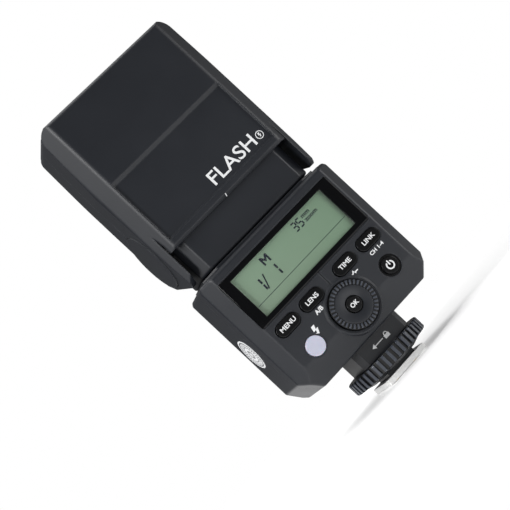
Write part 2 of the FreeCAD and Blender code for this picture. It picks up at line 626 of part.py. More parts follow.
def make_swivel():
    plate = prism("swivel_blank", "top", mirrored([
        ("21", "-12.6"), ("27", "-8.6"), ("27", "10.5"), ("21", "14.5")]),
        ("case_top", "case_top + plate_thick"))
    hole = rod("swivel_hole", "z", "shaft_radius + running_gap", ("case_top - 1", "case_top + 3"),
               (0, "swivel_y"))
    shaft = rod("shaft_tube", "z", "shaft_radius", ("case_top - 3.6", "neck_bottom + wall"), (0, "swivel_y"))
    flange = rod("shaft_flange", "z", "9.8", ("neck_bottom + wall", "neck_bottom + wall + 1.4"),
                 (0, "swivel_y"))
    bore = rod("shaft_bore", "z", "6", ("case_top - 5", "neck_bottom + 5"), (0, "swivel_y"))
    ring = tube("retaining_ring", "z", "10.4", "shaft_radius", ("case_top - 3.5", "case_top - wall - 0.25"),
                (0, "swivel_y"))
    return [cut("swivel_plate", plate, hole), cut("swivel_shaft", fuse("shaft_blank", shaft, flange), bore),
            ring]


def neck_solid(name, inset):
    slide = f"0.41 * {inset}"
    top = f"tilt_height + ear_radius - {inset}"
    bottom = f"neck_bottom + {inset}"
    plan = prism(f"{name}_plan", "top", mirrored([
        (f"neck_flat - {slide}", f"neck_rear + {inset}"),
        (f"neck_half - {inset}", f"neck_rear + 4 + {slide}"),
        (f"neck_half - {inset}", f"neck_front - 3 - {slide}"),
        (f"neck_flat + 1 - {slide}", f"neck_front - {inset}")]),
        (bottom, top))
    drum = rod(f"{name}_drum", "x", f"ear_radius - {inset}", ("-neck_half", "neck_half"),
               ("tilt_y", "tilt_height"))
    base = block(f"{name}_base", ("-neck_half", "neck_half"), (f"neck_rear + {inset}", "neck_front"),
                 (bottom, "tilt_height"))
    return common(name, plan, fuse(f"{name}_profile", drum, base))


def make_neck():
    outer = soften("neck_rounded", neck_solid("neck_outer", "0"), 1.0, any_edge)
    skin = cut("neck_skin", outer, neck_solid("neck_inner", "wall"),
               rod("neck_floor_hole", "z", "shaft_radius", ("neck_bottom - 1", "neck_bottom + wall + 0.5"),
                   (0, "swivel_y")),
               rod("neck_axle_hole", "x", "axle_radius", ("-neck_half - 1", "neck_half + 1"),
                   ("tilt_y", "tilt_height")))
    rear = common("neck_rear_shell", skin, block("neck_rear_half", ("-40", "40"), ("-30", "neck_seam"),
                                                 ("60", "110")))
    front = common("neck_front_shell", skin, block("neck_front_half", ("-40", "40"), ("neck_seam", "30"),
                                                   ("60", "110")))
    axles = []
    for side, sign in (("left", "-"), ("right", "+")):
        ends = ("neck_half - wall - 2", "ear_inner + cap_depth - 0.1")
        flange_ends = ("neck_half - wall - 2", "neck_half - wall")
        if sign == "-":
            ends = tuple(f"-({text})" for text in reversed(ends))
            flange_ends = tuple(f"-({text})" for text in reversed(flange_ends))
        pin = rod(f"{side}_axle_pin", "x", "axle_radius", ends, ("tilt_y", "tilt_height"))
        flange = rod(f"{side}_axle_flange", "x", "6", flange_ends, ("tilt_y", "tilt_height"))
        axles.append(fuse(f"{side}_axle", pin, flange))
    leaf = block("spring_leaf", ("-5", "5"), ("-8.4", "-7.9"), ("72", "90"))
    bump = rod("spring_bump", "x", "1.2", ("-5", "5"), ("-8.1", "86"))
    foot = block("spring_foot", ("-5", "5"), ("-8.4", "-1"), ("71.6", "72.2"))
    return [rear, front, group("tilt_axles", *axles), fuse("detent_spring", leaf, bump, foot)]


# ---------------------------------------------------------------- head

def head_plan(name, inset, span):
    slide = f"0.41 * {inset}"
    half = f"head_half - {inset}"
    return prism(name, "top", mirrored([
        (f"head_flat - {slide}", f"head_rear + {inset}"), (half, f"head_side_rear + {slide}"),
        (half, f"head_side_front - {slide}"), (f"head_front_flat - {slide}", f"head_front - {inset}")]),
        span)


def make_head_shells():
    """Head with a cheek each side of the neck, whose heel is low at the back and slopes up to the front."""
    across = ("-head_half - 1", "head_half + 1")
    plan = head_plan("head_plan", "0", ("heel_low - 1", "head_top"))
    round_edges(plan, "head_round", lambda edge: runs_along(edge, "z"))
    back = prism("head_back", "back", mirrored([
        ("head_half - 0.9", "heel_low"), ("head_half - 0.4", "heel_low + 10"),
        ("head_half", "head_top - 28"),
        ("head_half - 1", "head_top")]), ("head_rear - 1", "head_front + 1"))
    round_edges(back, "crown_round", lambda edge: runs_along(edge, "y", z=size("head_top")))
    side = prism("head_side", "side", [
        ("heel_y", "heel_low"), ("toe_y", "toe_height"), ("head_front", "tilt_height - 4"),
        ("head_front", "head_top"), ("head_rear", "head_top"), ("head_rear", "heel_high")], across)
    round_edges(side, "1.8", lambda edge: runs_along(edge, "x", z=size("head_top")))
    round_edges(side, "2.5", lambda edge: runs_along(edge, "x", z=size("heel_low")))
    outer = common("head_outer", plan, back, side)

    inside = ("-ear_inner", "ear_inner")
    axle = ("tilt_y", "tilt_height")
    openings = [
        rod("drum_room", "x", "ear_radius + ear_gap", inside, axle),
        block("rear_slot", inside, ("neck_rear - 0.6", "tilt_y"), ("heel_low - 2", "tilt_height")),
        prism("rim_slot", "side", [
            ("head_rear - 1", "heel_low - 2"), ("tilt_y", "heel_low - 2"), ("tilt_y", "rim_low"),
            ("head_rear + 1", "rim_low"), ("head_rear", "rim_low + 1"), ("head_rear - 1", "rim_low + 1")],
            inside),
        block("front_slot", inside, ("tilt_y", "head_front + 1"), ("heel_low - 2", "front_rim")),
        head_plan("head_cavity", "wall", ("cavity_floor", "head_top + 1")),
        prism("name_recess", "side", [
            ("head_rear - 1", "lip_high"), ("head_rear", "lip_high"),
            ("head_rear + ridge_depth", "lip_high + 0.7"),
            ("head_rear + ridge_depth", "ridge_height - 1.1"), ("head_rear", "ridge_height"),
            ("head_rear - 1", "ridge_height")], ("-head_flat + 0.3", "head_flat - 0.3")),
        rod("axle_bores", "x", "axle_radius + running_gap", across, axle),
        rod("left_cap_seat", "x", "cap_radius + 0.15", ("-head_half - 1", "-(ear_inner + cap_depth)"), axle),
        rod("right_cap_seat", "x", "cap_radius + 0.15", ("ear_inner + cap_depth", "head_half + 1"), axle),
    ]
    openings += [rod(f"head_screw_seat_{i}", "y", "1.8", ("head_front - 1.2", "head_front + 1"), spot)
                 for i, spot in enumerate(HEAD_SCREW_SPOTS)]
    skin = cut("head_skin", outer, *openings)
    rear = common("head_rear_shell", skin, block("head_rear_half", ("-40", "40"), ("-30", "head_seam"),
                                                 ("60", "150")))
    front = common("head_front_part", skin, block("head_front_half", ("-40", "40"), ("head_seam", "30"),
                                                  ("60", "150")))
    posts = [rod(f"head_screw_post_{i}", "y", "2.4", ("head_front - 4.4", "head_front - 1.2"), spot)
             for i, spot in enumerate(HEAD_SCREW_SPOTS)]
    bores = [rod(f"head_screw_bore_{i}", "y", "0.9", ("head_front - 5", "head_front"), spot)
             for i, spot in enumerate(HEAD_SCREW_SPOTS)]
    front = cut("head_front_shell", fuse("head_front_blank", front, *posts), *bores)
    return [rear, front]


HEAD_SCREW_SPOTS = [("-20", "105.5"), ("20", "105.5")]


def make_head_trim():
    caps = []
    for side, sign in (("left", "-"), ("right", "+")):
        ends = ("ear_inner + cap_depth + 0.05", "head_half - 0.05")
        if sign == "-":
            ends = tuple(f"-({text})" for text in reversed(ends))
        caps.append(rod(f"{side}_ear_cap", "x", "cap_radius", ends, ("tilt_y", "tilt_height")))
    edge = "head_half - wall - 0.05"
    crown = prism("bezel_crown", "back", mirrored([
        (edge, "head_top - 4"), (edge, "head_top - 1.3"), ("head_half - wall - 2", "head_top - 0.3")]),
        ("head_rear", "head_front"))
    frame = common("bezel_form", head_plan("bezel_blank", "(wall + 0.05)",
                                           ("head_top - 4", "head_top - 0.3")), crown)
    holes = [block("lens_opening", ("-lens_half - 0.1", "lens_half + 0.1"),
                   ("lens_rear - 0.1", "lens_front + 0.1"),
                   ("head_top - 5", "head_top + 1")),
             block("card_slot", ("-card_half - 0.5", "card_half + 0.5"), ("-11.3", "-7.1"),
                   ("head_top - 5", "head_top + 1"))]
    bezel = cut("lens_bezel", frame, *holes)
    lens_top = block("lens_top", ("-lens_half", "lens_half"), ("lens_rear", "lens_front"),
                     ("head_top - 4", "head_top - 1.6"))
    lens_edge = block("lens_edge", ("-lens_half - 1.4", "lens_half + 1.4"),
                      ("lens_rear - 0.6", "lens_front + 0.8"),
                      ("head_top - 5.8", "head_top - 4"))
    wide = block("wide_panel", ("-card_half", "card_half"), ("-8.5", "-7.5"),
                 ("head_top - 34", "head_top - 1.2"))
    card = block("bounce_card", ("-card_half", "card_half"), ("-10.6", "-9.8"),
                 ("head_top - 35", "head_top - 0.8"))
    tray = fuse("card_tray", block("tray_wall", ("-25.5", "25.5"), ("-6.8", "-6.2"),
                                   ("cavity_floor", "head_top - 6")),
                block("tray_left_rail", ("-25.5", "-24.2"), ("-11", "-6.8"),
                      ("cavity_floor", "head_top - 6")),
                block("tray_right_rail", ("24.2", "25.5"), ("-11", "-6.8"),
                      ("cavity_floor", "head_top - 6")))
    return [group("ear_caps", *caps), bezel, fuse("fresnel_lens", lens_top, lens_edge), wide, card, tray]


def make_reflector():
    """Trough reflector lofted from a narrow back to a wide mouth, open at the top."""
    body = doc.addObject("PartDesign::Body", "reflector")
    low, high = "head_top - 27", "head_top - 14.6"
    rings = []
    for level, height, half_x, half_y in (("back", low, "16", "3.4"), ("mouth", high, "21", "8.8")):
        sketch = sketch_on(body, f"reflector_{level}", "XY_Plane", height)
        polygon(sketch, [(f"-{half_x}", f"lamp_y - {half_y}"), (half_x, f"lamp_y - {half_y}"),
                         (half_x, f"lamp_y + {half_y}"), (f"-{half_x}", f"lamp_y + {half_y}")])
        rings.append(sketch)
    loft = body.newObject("PartDesign::AdditiveLoft", "reflector_loft")
    loft.Profile = rings[0]
    loft.Sections = [rings[1]]
    body.Tip = loft
    hollow = []
    for level, height, half_x, half_y in (("floor", f"{low} + 0.8", "15.4", "2.8"),
                                          ("lip", f"{high} + 0.01", "20.4", "8.2")):
        sketch = sketch_on(body, f"reflector_{level}", "XY_Plane", height)
        polygon(sketch, [(f"-{half_x}", f"lamp_y - {half_y}"), (half_x, f"lamp_y - {half_y}"),
                         (half_x, f"lamp_y + {half_y}"), (f"-{half_x}", f"lamp_y + {half_y}")])
        hollow.append(sketch)
    inner = body.newObject("PartDesign::SubtractiveLoft", "reflector_hollow")
    inner.Profile = hollow[0]
    inner.Sections = [hollow[1]]
    body.Tip = inner
    hole = sketch_on(body, "tube_hole", "YZ_Plane", "-25")
    circle(hole, "2", "lamp_y", "head_top - 23.2")
    bore = body.newObject("PartDesign::Pocket", "tube_hole_cut")
    bore.Profile = hole
    bore.Reversed = True
    bind(bore, Length="50")
    body.Tip = bore
    return body


def make_zoom():
    lamp = ("lamp_y", "head_top - 23.2")
    tube_glass = rod("flash_tube", "x", "1.7", ("-21.5", "21.5"), lamp)
    plate_z = ("head_top - 30.5", "head_top - 28.5")
    plate = block("carriage_plate", ("-screw_x - 3", "screw_x + 3"), ("lamp_y - 4", "lamp_y + 4"), plate_z)
    cradle = block("carriage_cradle", ("-12", "12"), ("lamp_y - 3", "lamp_y + 3"),
                   ("head_top - 28.5", "head_top - 27"))
    nut_hole = rod("nut_hole", "z", "1 + running_gap", ("head_top - 31", "head_top - 28"),
                   ("-screw_x", "lamp_y"))
    rod_hole = rod("rod_hole", "z", "1 + running_gap", ("head_top - 31", "head_top - 28"),
                   ("screw_x", "lamp_y"))
    carriage = cut("zoom_carriage", fuse("carriage_blank", plate, cradle), nut_hole, rod_hole)
    screw = rod("lead_screw", "z", "1", ("head_top - 31.3", "head_top - 8"), ("-screw_x", "lamp_y"))
    motor = rod("zoom_motor", "z", "3.4", ("cavity_floor", "head_top - 31.4"), ("-screw_x", "lamp_y"))
    guide = rod("guide_rod", "z", "1", ("cavity_floor", "head_top - 6.5"), ("screw_x", "lamp_y"))
    return [tube_glass, carriage, screw, motor, guide]


# ---------------------------------------------------------------- assembly and export

case_form = soften("case_rounded", case_solid("case_outer", "0"), 1.2, any_edge)
case_skin = cut("case_skin", case_form, case_solid("case_inner", "wall"))
nodes = [make_rear_shell(case_skin), make_front_shell(case_skin, case_form)]
nodes += make_foot() + make_contacts()
nodes += [make_lock_ring(), make_clamp(), rod("lock_pin", "z", "0.9", ("0.2", "6.4"), (0, "lock_pin_y"))]
nodes += [screws("foot_screws", "z", ("case_bottom + wall", "case_bottom + wall + 1"),
                 ("case_bottom - 2.8", "case_bottom + wall"), FOOT_SCREW_SPOTS)]
nodes += [screws("case_screws", "y", ("case_front - 1.3", "case_front - 0.2"),
                 ("case_front - 5.8", "case_front - 1.3"), CASE_SCREW_SPOTS)]
nodes += make_keys() + [make_dial()] + make_screen() + make_board()
nodes += make_battery() + make_door() + make_side_parts() + make_front_parts()
nodes += make_swivel() + make_neck() + make_head_shells()
nodes += [screws("head_screws", "y", ("head_front - 1.2", "head_front - 0.1"),
                 ("head_front - 4.3", "head_front - 1.2"), HEAD_SCREW_SPOTS)]
nodes += make_head_trim() + [make_reflector()] + make_zoom()
doc.recompute()

faults = [item.Name for item in doc.Objects if {"Invalid", "Error"} & set(item.State)]
faults += [node.Name for node in nodes if node.Shape.isNull() or not node.Shape.isValid()]
if faults:
    raise RuntimeError("failed objects: " + ", ".join(faults))
os.makedirs("parts", exist_ok=True)
for node in nodes:
    node.Label = node.Name
    node.Shape.exportStep(f"parts/{node.Label}.step")
    print(node.Label, len(node.Shape.Solids), "solids", round(node.Shape.Volume, 1), "mm3")
print(len(nodes), "nodes")
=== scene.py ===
import math

import bpy
from mathutils import Matrix, Vector


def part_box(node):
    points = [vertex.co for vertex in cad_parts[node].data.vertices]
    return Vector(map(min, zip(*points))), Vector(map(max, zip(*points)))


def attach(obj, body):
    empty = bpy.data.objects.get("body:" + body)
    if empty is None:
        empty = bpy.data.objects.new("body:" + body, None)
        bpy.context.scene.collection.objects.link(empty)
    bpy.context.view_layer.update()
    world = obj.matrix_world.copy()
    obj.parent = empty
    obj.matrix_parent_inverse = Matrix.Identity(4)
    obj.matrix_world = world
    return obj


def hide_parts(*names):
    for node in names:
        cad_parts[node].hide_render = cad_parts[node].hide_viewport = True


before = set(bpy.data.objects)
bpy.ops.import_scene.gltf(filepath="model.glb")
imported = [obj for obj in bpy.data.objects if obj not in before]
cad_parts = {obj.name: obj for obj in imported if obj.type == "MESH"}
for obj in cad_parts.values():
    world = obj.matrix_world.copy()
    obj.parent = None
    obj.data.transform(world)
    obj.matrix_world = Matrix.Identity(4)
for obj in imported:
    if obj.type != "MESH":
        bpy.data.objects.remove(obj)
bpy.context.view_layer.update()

bl_info = {
    "name": "Compact speedlight flash",
    "version": (1, 0, 0),
    "blender": (4, 5, 0),
    "location": "View3D > Sidebar > Flash",
    "description": "Dresses the flash unit's frame with its keys, screen, dial, prints, lens and finishes",
    "category": "Object",
}

MM = 0.001
SCREEN_LOW, SCREEN_HIGH = (Vector(corner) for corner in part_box("lcd_window"))
PANEL_Y = SCREEN_LOW.y + 0.2 * MM
DIAL_FACE = Vector(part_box("select_dial")[0]).y + 0.35 * MM
KEY_WORDS = {"mode_button": "MENU", "zoom_button": "LENS", "sync_button": "TIME", "link_button": "LINK"}
KEY_NAMES = tuple(KEY_WORDS)
PRINT_HEIGHT = 0.03 * MM


UPRIGHT = (math.pi / 2, 0, 0)
FACING = {"back": UPRIGHT, "right": (math.pi / 2, 0, math.pi / 2)}


def centre(node):
    low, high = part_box(node)
    return (Vector(low) + Vector(high)) / 2


def rear_face(node):
    """The y of the node's side that faces the user, who stands on the panel's side."""
    return Vector(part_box(node)[0]).y


def in_front(node, depth):
    """The node's middle, moved to the plane y = depth."""
    spot = centre(node)
    spot.y = depth
    return spot


# ---------------------------------------------------------------- modelling helpers

def deselect():
    if bpy.context.object and bpy.context.object.mode != "OBJECT":
        bpy.ops.object.mode_set(mode="OBJECT")
    for item in list(bpy.context.selected_objects):
        item.select_set(False)


def make_active(item):
    deselect()
    item.select_set(True)
    bpy.context.view_layer.objects.active = item
    return item


def settle(item, name=None):
    """Applies the object's place to its mesh, so that the object stands at the origin."""
    make_active(item)
    bpy.ops.object.transform_apply(location=True, rotation=True, scale=True)
    if name:
        item.name = name
        item.data.name = name
    return item


def add_block(name, low, high):
    low, high = Vector(low), Vector(high)
    deselect()
    bpy.ops.mesh.primitive_cube_add(size=1, location=(low + high) / 2)
    item = bpy.context.object
    item.scale = high - low
    return settle(item, name)


def add_disc(name, radius, depth, spot, sides=64):
    """A disc whose faces look along y."""
    deselect()
    bpy.ops.mesh.primitive_cylinder_add(vertices=sides, radius=radius, depth=depth, location=spot,
                                        rotation=UPRIGHT)
    return settle(bpy.context.object, name)


def modify(item, kind, **settings):
    make_active(item)
    step = item.modifiers.new(kind.title(), kind)
    for key, value in settings.items():
        setattr(step, key, value)
    bpy.ops.object.modifier_apply(modifier=step.name)
    return item


def round_off(item, width, segments=3, angle=40):
    return modify(item, "BEVEL", width=width, segments=segments, limit_method="ANGLE",
                  angle_limit=math.radians(angle), harden_normals=False)


def carve(item, cutter):
    """Cuts cutter's volume out of item and removes cutter."""
    modify(item, "BOOLEAN", operation="DIFFERENCE", object=cutter, solver="EXACT")
    bpy.data.objects.remove(cutter, do_unlink=True)
    return item


def smooth(item, angle=35):
    make_active(item)
    bpy.ops.object.shade_smooth_by_angle(angle=math.radians(angle))
    return item


def pick_faces(item, test):
    """Enters edit mode with the faces selected whose centre and normal pass the test."""
    make_active(item)
    bpy.ops.object.mode_set(mode="EDIT")
    bpy.ops.mesh.select_mode(type="FACE")
    bpy.ops.mesh.select_all(action="DESELECT")
    bpy.ops.object.mode_set(mode="OBJECT")
    for face in item.data.polygons:
        face.select = test(face.center, face.normal)
    bpy.ops.object.mode_set(mode="EDIT")


def leave_edit():
    bpy.ops.object.mode_set(mode="OBJECT")


def slide_points(item, test, shift):
    """Moves the vertices whose number and place pass the test."""
    make_active(item)
    bpy.ops.object.mode_set(mode="EDIT")
    bpy.ops.mesh.select_mode(type="VERT")
    bpy.ops.mesh.select_all(action="DESELECT")
    bpy.ops.object.mode_set(mode="OBJECT")
    for vertex in item.data.vertices:
        vertex.select = test(vertex.index, vertex.co)
    bpy.ops.object.mode_set(mode="EDIT")
    bpy.ops.transform.translate(value=shift)
    leave_edit()


def flatten(item, face, share):
    """Squeezes a print towards the plane y = face, to share of its height."""
    make_active(item)
    bpy.ops.object.mode_set(mode="EDIT")
    bpy.ops.mesh.select_all(action="SELECT")
    bpy.ops.transform.resize(value=(1, share, 1), center_override=(0, face, 0))
    leave_edit()


def copy_of(item, name, shift):
    """A copy with its own mesh, moved by shift."""
    make_active(item)
    bpy.ops.object.duplicate(linked=False)
    made = bpy.context.object
    made.location = shift
    return settle(made, name)


def dress(item, body, slot, material, *replaced):
    """Gives a finished piece its finish and its body, and hides the CAD nodes that it stands for."""
    item.data.materials.clear()
    item.data.materials.append(material)
    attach(item, body)
    if replaced:
        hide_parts(*replaced)
    return item


def joined(name, items):
    make_active(items[0])
    for item in items[1:]:
        item.select_set(True)
    if len(items) > 1:
        bpy.ops.object.join()
    items[0].name = name
    items[0].data.name = name
    return items[0]


def lettering(name, words, height, spot, weight=0.0, stretch=1.0):
    """A raised print of generic words, centred on spot and facing the user."""
    deselect()
    bpy.ops.object.text_add(location=spot, rotation=UPRIGHT)
    item = bpy.context.object
    item.data.body = words
    item.data.align_x = "CENTER"
    item.data.align_y = "CENTER"
    item.data.size = height
    item.data.offset = weight
    item.data.extrude = PRINT_HEIGHT
    item.scale.x = stretch
    bpy.ops.object.convert(target="MESH")
    return settle(item, name)


def flat_shape(name, corners, spot, facing="back", depth=0.06 * MM):
    """A thin print: a filled ring whose corners are moved to the outline, given in millimetres."""
    deselect()
    bpy.ops.mesh.primitive_circle_add(vertices=len(corners), radius=MM, fill_type="NGON")
    item = bpy.context.object
    for number, (x, y) in enumerate(corners):
        shift = Vector((x * MM, y * MM, 0)) - item.data.vertices[number].co
        slide_points(item, lambda index, point: index == number, shift)
    item.location = spot
    item.rotation_euler = FACING[facing]
    modify(item, "SOLIDIFY", thickness=depth, offset=0)
    return settle(item, name)


def bead(name, radius, reach, spot, thickness, sides=64):
    """A round bead that follows a circle, or a pill outline when reach is more than 0."""
    deselect()
    bpy.ops.mesh.primitive_circle_add(vertices=sides, radius=radius, fill_type="NOTHING")
    item = bpy.context.object
    if reach:
        slide_points(item, lambda index, point: point.x > 1e-9, (reach, 0, 0))
        slide_points(item, lambda index, point: point.x < -1e-9, (-reach, 0, 0))
    tube_along(item, thickness)
    item.location = spot
    item.rotation_euler = UPRIGHT
    return settle(item, name)


def frame_bead(name, left, right, bottom, top, face, corner, thickness):
    """A round bead that follows a rounded rectangle on the panel."""
    deselect()
    bpy.ops.mesh.primitive_plane_add(size=1, location=((left + right) / 2, face, (bottom + top) / 2),
                                     rotation=UPRIGHT)
    item = bpy.context.object
    item.scale = (right - left, top - bottom, 1)
    settle(item, name)
    modify(item, "BEVEL", width=corner, segments=6, affect="VERTICES", limit_method="NONE")
    make_active(item)
    bpy.ops.object.mode_set(mode="EDIT")
    bpy.ops.mesh.select_all(action="SELECT")
    bpy.ops.mesh.delete(type="ONLY_FACE")
    leave_edit()
    return tube_along(item, thickness)


def tube_along(item, thickness):
    """Turns a loop of edges into a closed round tube."""
    make_active(item)
    bpy.ops.object.convert(target="CURVE")
    item.data.bevel_depth = thickness
    item.data.bevel_resolution = 2
    bpy.ops.object.convert(target="MESH")
    return smooth(item, 60)


# ---------------------------------------------------------------- material recipes

class Wire:
    """A shader output on which Python arithmetic adds Math nodes."""

    def __init__(self, recipe, socket):
        self.recipe = recipe
        self.socket = socket

    def maths(self, operation, first, second=None):
        values = {0: first} if second is None else {0: first, 1: second}
        return self.recipe.node("ShaderNodeMath", {"operation": operation}, values)

    def __add__(self, other):
        return self.maths("ADD", self, other)

    def __sub__(self, other):
        return self.maths("SUBTRACT", self, other)

    def __mul__(self, other):
        return self.maths("MULTIPLY", self, other)

    def __truediv__(self, other):
        return self.maths("DIVIDE", self, other)

    def __pow__(self, other):
        return self.maths("POWER", self, other)

    def __radd__(self, other):
        return self.maths("ADD", other, self)

    def __rsub__(self, other):
        return self.maths("SUBTRACT", other, self)

    def __rmul__(self, other):
        return self.maths("MULTIPLY", other, self)

    def above(self, other):
        return self.maths("GREATER_THAN", self, other)

    def absolute(self):
        return self.maths("ABSOLUTE", self)

    def sine(self):
        return self.maths("SINE", self)


class Graph:
    """A node tree, and the shader in it whose sockets are set by name."""

    def __init__(self, owner, shader):
        owner.use_nodes = True
        self.tree = owner.node_tree
        self.shader = self.tree.nodes[shader]

    def set(self, **values):
        """Sets shader sockets by name, with underscores for spaces."""
        for key, value in values.items():
            self.feed(self.shader.inputs[key.replace("_", " ")], value)
        return self

    def feed(self, socket, value):
        if isinstance(value, Wire):
            self.tree.links.new(value.socket, socket)
        else:
            socket.default_value = value

    def node(self, kind, settings, values, output=0):
        """Adds a node: its settings first, then the values or links of its sockets."""
        made = self.tree.nodes.new(kind)
        for key, value in settings.items():
            setattr(made, key, value)
        for key, value in values.items():
            self.feed(made.inputs[key], value)
        return Wire(self, made.outputs[output])


class Recipe(Graph):
    """One procedural material, built round a Principled shader."""

    def __init__(self, name, **constants):
        self.material = bpy.data.materials.new(name)
        super().__init__(self.material, "Principled BSDF")
        self.set(**constants)

    def place(self, spot=(0, 0, 0), scale=(1, 1, 1)):
        """Object coordinates, measured from spot and stretched by scale."""
        raw = self.node("ShaderNodeTexCoord", {}, {}, "Object")
        shift = tuple(-middle * stretch for middle, stretch in zip(spot, scale))
        return self.node("ShaderNodeMapping", {"vector_type": "POINT"},
                         {"Vector": raw, "Location": shift, "Scale": scale})

    def split(self, vector):
        """The three parts of a vector."""
        return [self.node("ShaderNodeSeparateXYZ", {}, {"Vector": vector}, axis) for axis in "XYZ"]

    def grain(self, where, scale, detail=3.0, roughness=0.55):
        return self.node("ShaderNodeTexNoise", {"noise_dimensions": "3D"},
                         {"Vector": where, "Scale": scale, "Detail": detail, "Roughness": roughness}, 0)

    def blend(self, factor, first, second):
        """Mixes two colours by a factor from 0 to 1 (sockets 6 and 7 are the colours)."""
        return self.node("ShaderNodeMix", {"data_type": "RGBA"}, {0: factor, 6: first, 7: second}, 2)

    def rounded_edges(self, radius):
        return self.node("ShaderNodeBevel", {"samples": 4}, {"Radius": radius})

    def edge_wear_and_highlight(self, radius):
        """About 0 on flat faces and up to 1 on sharp edges."""
        round_normal = self.rounded_edges(radius)
        plain = self.node("ShaderNodeNewGeometry", {}, {}, "Normal")
        match = self.node("ShaderNodeVectorMath", {"operation": "DOT_PRODUCT"},
                          {0: round_normal, 1: plain}, "Value")
        return 1 - match

    def bump(self, height, strength, distance, normal=None):
        values = {"Strength": strength, "Distance": distance, "Height": height}
        if normal is not None:
            values["Normal"] = normal
        return self.set(Normal=self.node("ShaderNodeBump", {}, values))


def colour(red, green, blue):
    return (red, green, blue, 1.0)


def shade(base, share):
    """The same colour, lighter or darker."""
    return colour(*(share * part for part in base))


def moulded_plastic(name, base, roughness, grain=5200.0, depth=0.012 * MM, edge=0.15 * MM, groove=None):
    """Spark-textured moulding: fine pebble grain, soft mottling, edges smoother from handling and painted
    lighter as a highlight; with groove, painted shade in grooves and painted highlight on tops.
    """
    made = Recipe(name, IOR=1.46)
    where = made.place()
    pebble = made.grain(where, grain, 2.0)
    cloud = made.grain(where, 60.0, 2.0)
    edge_rub_and_highlight = made.edge_wear_and_highlight(0.35 * MM)
    tone = made.blend(cloud, shade(base, 0.90), shade(base, 1.10))
    # Painted highlight: every edge is painted lighter than the faces beside it.
    tone = made.blend(edge_rub_and_highlight * 2.2, tone, colour(*(2.4 * part + 0.014 for part in base)))
    if groove:
        groove_shade, raised = groove(made, where)
        # Painted shade darkens the grooves, and a painted highlight lightens the tops of the teeth and
        # ribs.
        tone = made.blend(groove_shade, tone, shade(base, 0.12))
        tone = made.blend(raised, tone, shade(base, 3.2))
    made.set(Base_Color=tone,
             Roughness=roughness + (cloud - 0.5) * 0.12 + (pebble - 0.5) * 0.12 - edge_rub_and_highlight * 0.25)
    made.bump(pebble, 0.55, depth, made.rounded_edges(edge))
    return made.material


def dial_shade_and_highlight(made, where):
    """Masks for the painted shade in the dial's groove ring and for the painted highlight on the tops of
    its teeth.
    """
    depth = made.split(where)[1]
    return depth.above(DIAL_FACE - 0.1 * MM), 1 - depth.above(DIAL_FACE - 0.40 * MM)


def ring_shade_and_highlight(made, where):
    """Masks for the painted shade in the lock ring's grooves and for the painted highlight on the tops of
    its ribs.
    """
    across, along, _ = made.split(where)
    reach = (across * across + along * along) ** 0.5
    radius = Vector(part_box("lock_ring")[1]).x
    side = reach.above(radius - 1.6 * MM)
    return side * (1 - reach.above(radius - 0.45 * MM)), reach.above(radius - 0.45 * MM)


def glossy_black(name, base, roughness):
    made = Recipe(name, IOR=1.5, Specular_IOR_Level=0.22)
    where = made.place()
    haze = made.grain(where, 900.0, 4.0)
    smear = made.grain(where, 70.0, 3.0)
    made.set(Base_Color=made.blend(smear, colour(*base), shade(base, 1.6)),
             Roughness=roughness + (smear - 0.5) * 0.08 + (haze - 0.5) * 0.04)
    made.bump(haze, 0.12, 0.004 * MM, made.rounded_edges(0.1 * MM))
    return made.material


def white_print(name, base):
    made = Recipe(name, Roughness=0.55)
    where = made.place()
    fleck = made.grain(where, 5000.0, 2.0)
    made.set(Base_Color=made.blend(fleck, shade(base, 0.86), colour(*base)))
    made.bump(fleck, 0.3, 0.004 * MM)
    return made.material


def liquid_crystal(name):
    """Grey-green reflective screen, darker towards its edges and in the shade at its right, both painted
    shade, and with a faint painted glow.
    """
    low, high = (Vector(corner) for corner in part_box("lcd_panel"))
    middle = (low + high) / 2
    half = (high - low) / 2
    made = Recipe(name, Roughness=0.35, IOR=1.5)
    across, _, up = made.split(made.place(middle, (1 / half.x, 1, 1 / half.z)))
    edge = (across.absolute() ** 10.0 + up.absolute() ** 8.0) * 0.5
    fine = made.grain(made.place(), 2600.0, 2.0)
    # Lighter towards the top; darker towards the right and towards the edges as painted shade of the border
    # round the recessed screen.
    tone = made.blend(up * 0.5 + 0.5, colour(0.135, 0.190, 0.132), colour(0.145, 0.220, 0.150))
    tone = made.blend(across * 0.5 + 0.5, tone, colour(0.110, 0.180, 0.115))
    tone = made.blend(edge, tone, colour(0.060, 0.095, 0.060))
    shadow = made.node("ShaderNodeMapRange", {"interpolation_type": "SMOOTHSTEP"},
                       {"Value": across, "From Min": 0.86, "From Max": 0.96, "To Min": 0.0, "To Max": 0.8})
    tone = made.blend(shadow, tone, colour(0.020, 0.032, 0.022))
    tone = made.blend(fine * 0.12, tone, colour(0.22, 0.32, 0.22))
    # The screen's colour is also emitted: a painted glow, though the screen is lit by no lamp of its own.
    made.set(Base_Color=tone, Emission_Color=tone, Emission_Strength=0.35)
    made.bump(fine, 0.1, 0.003 * MM)
    return made.material


def segment_ink(name):
    made = Recipe(name, Roughness=0.5)
    fine = made.grain(made.place(), 4000.0, 2.0)
    made.set(Base_Color=made.blend(fine, colour(0.004, 0.006, 0.014), colour(0.008, 0.011, 0.024)),
             Specular_IOR_Level=0.1)
    return made.material


def clear_cover(name, alpha, tint, roughness):
    made = Recipe(name, IOR=1.46, Alpha=alpha)
    haze = made.grain(made.place(), 300.0, 3.0)
    made.set(Base_Color=made.blend(haze, colour(*tint), shade(tint, 0.95)),
             Roughness=roughness + haze * 0.04)
    made.bump(haze, 0.05, 0.004 * MM)
    return made.material


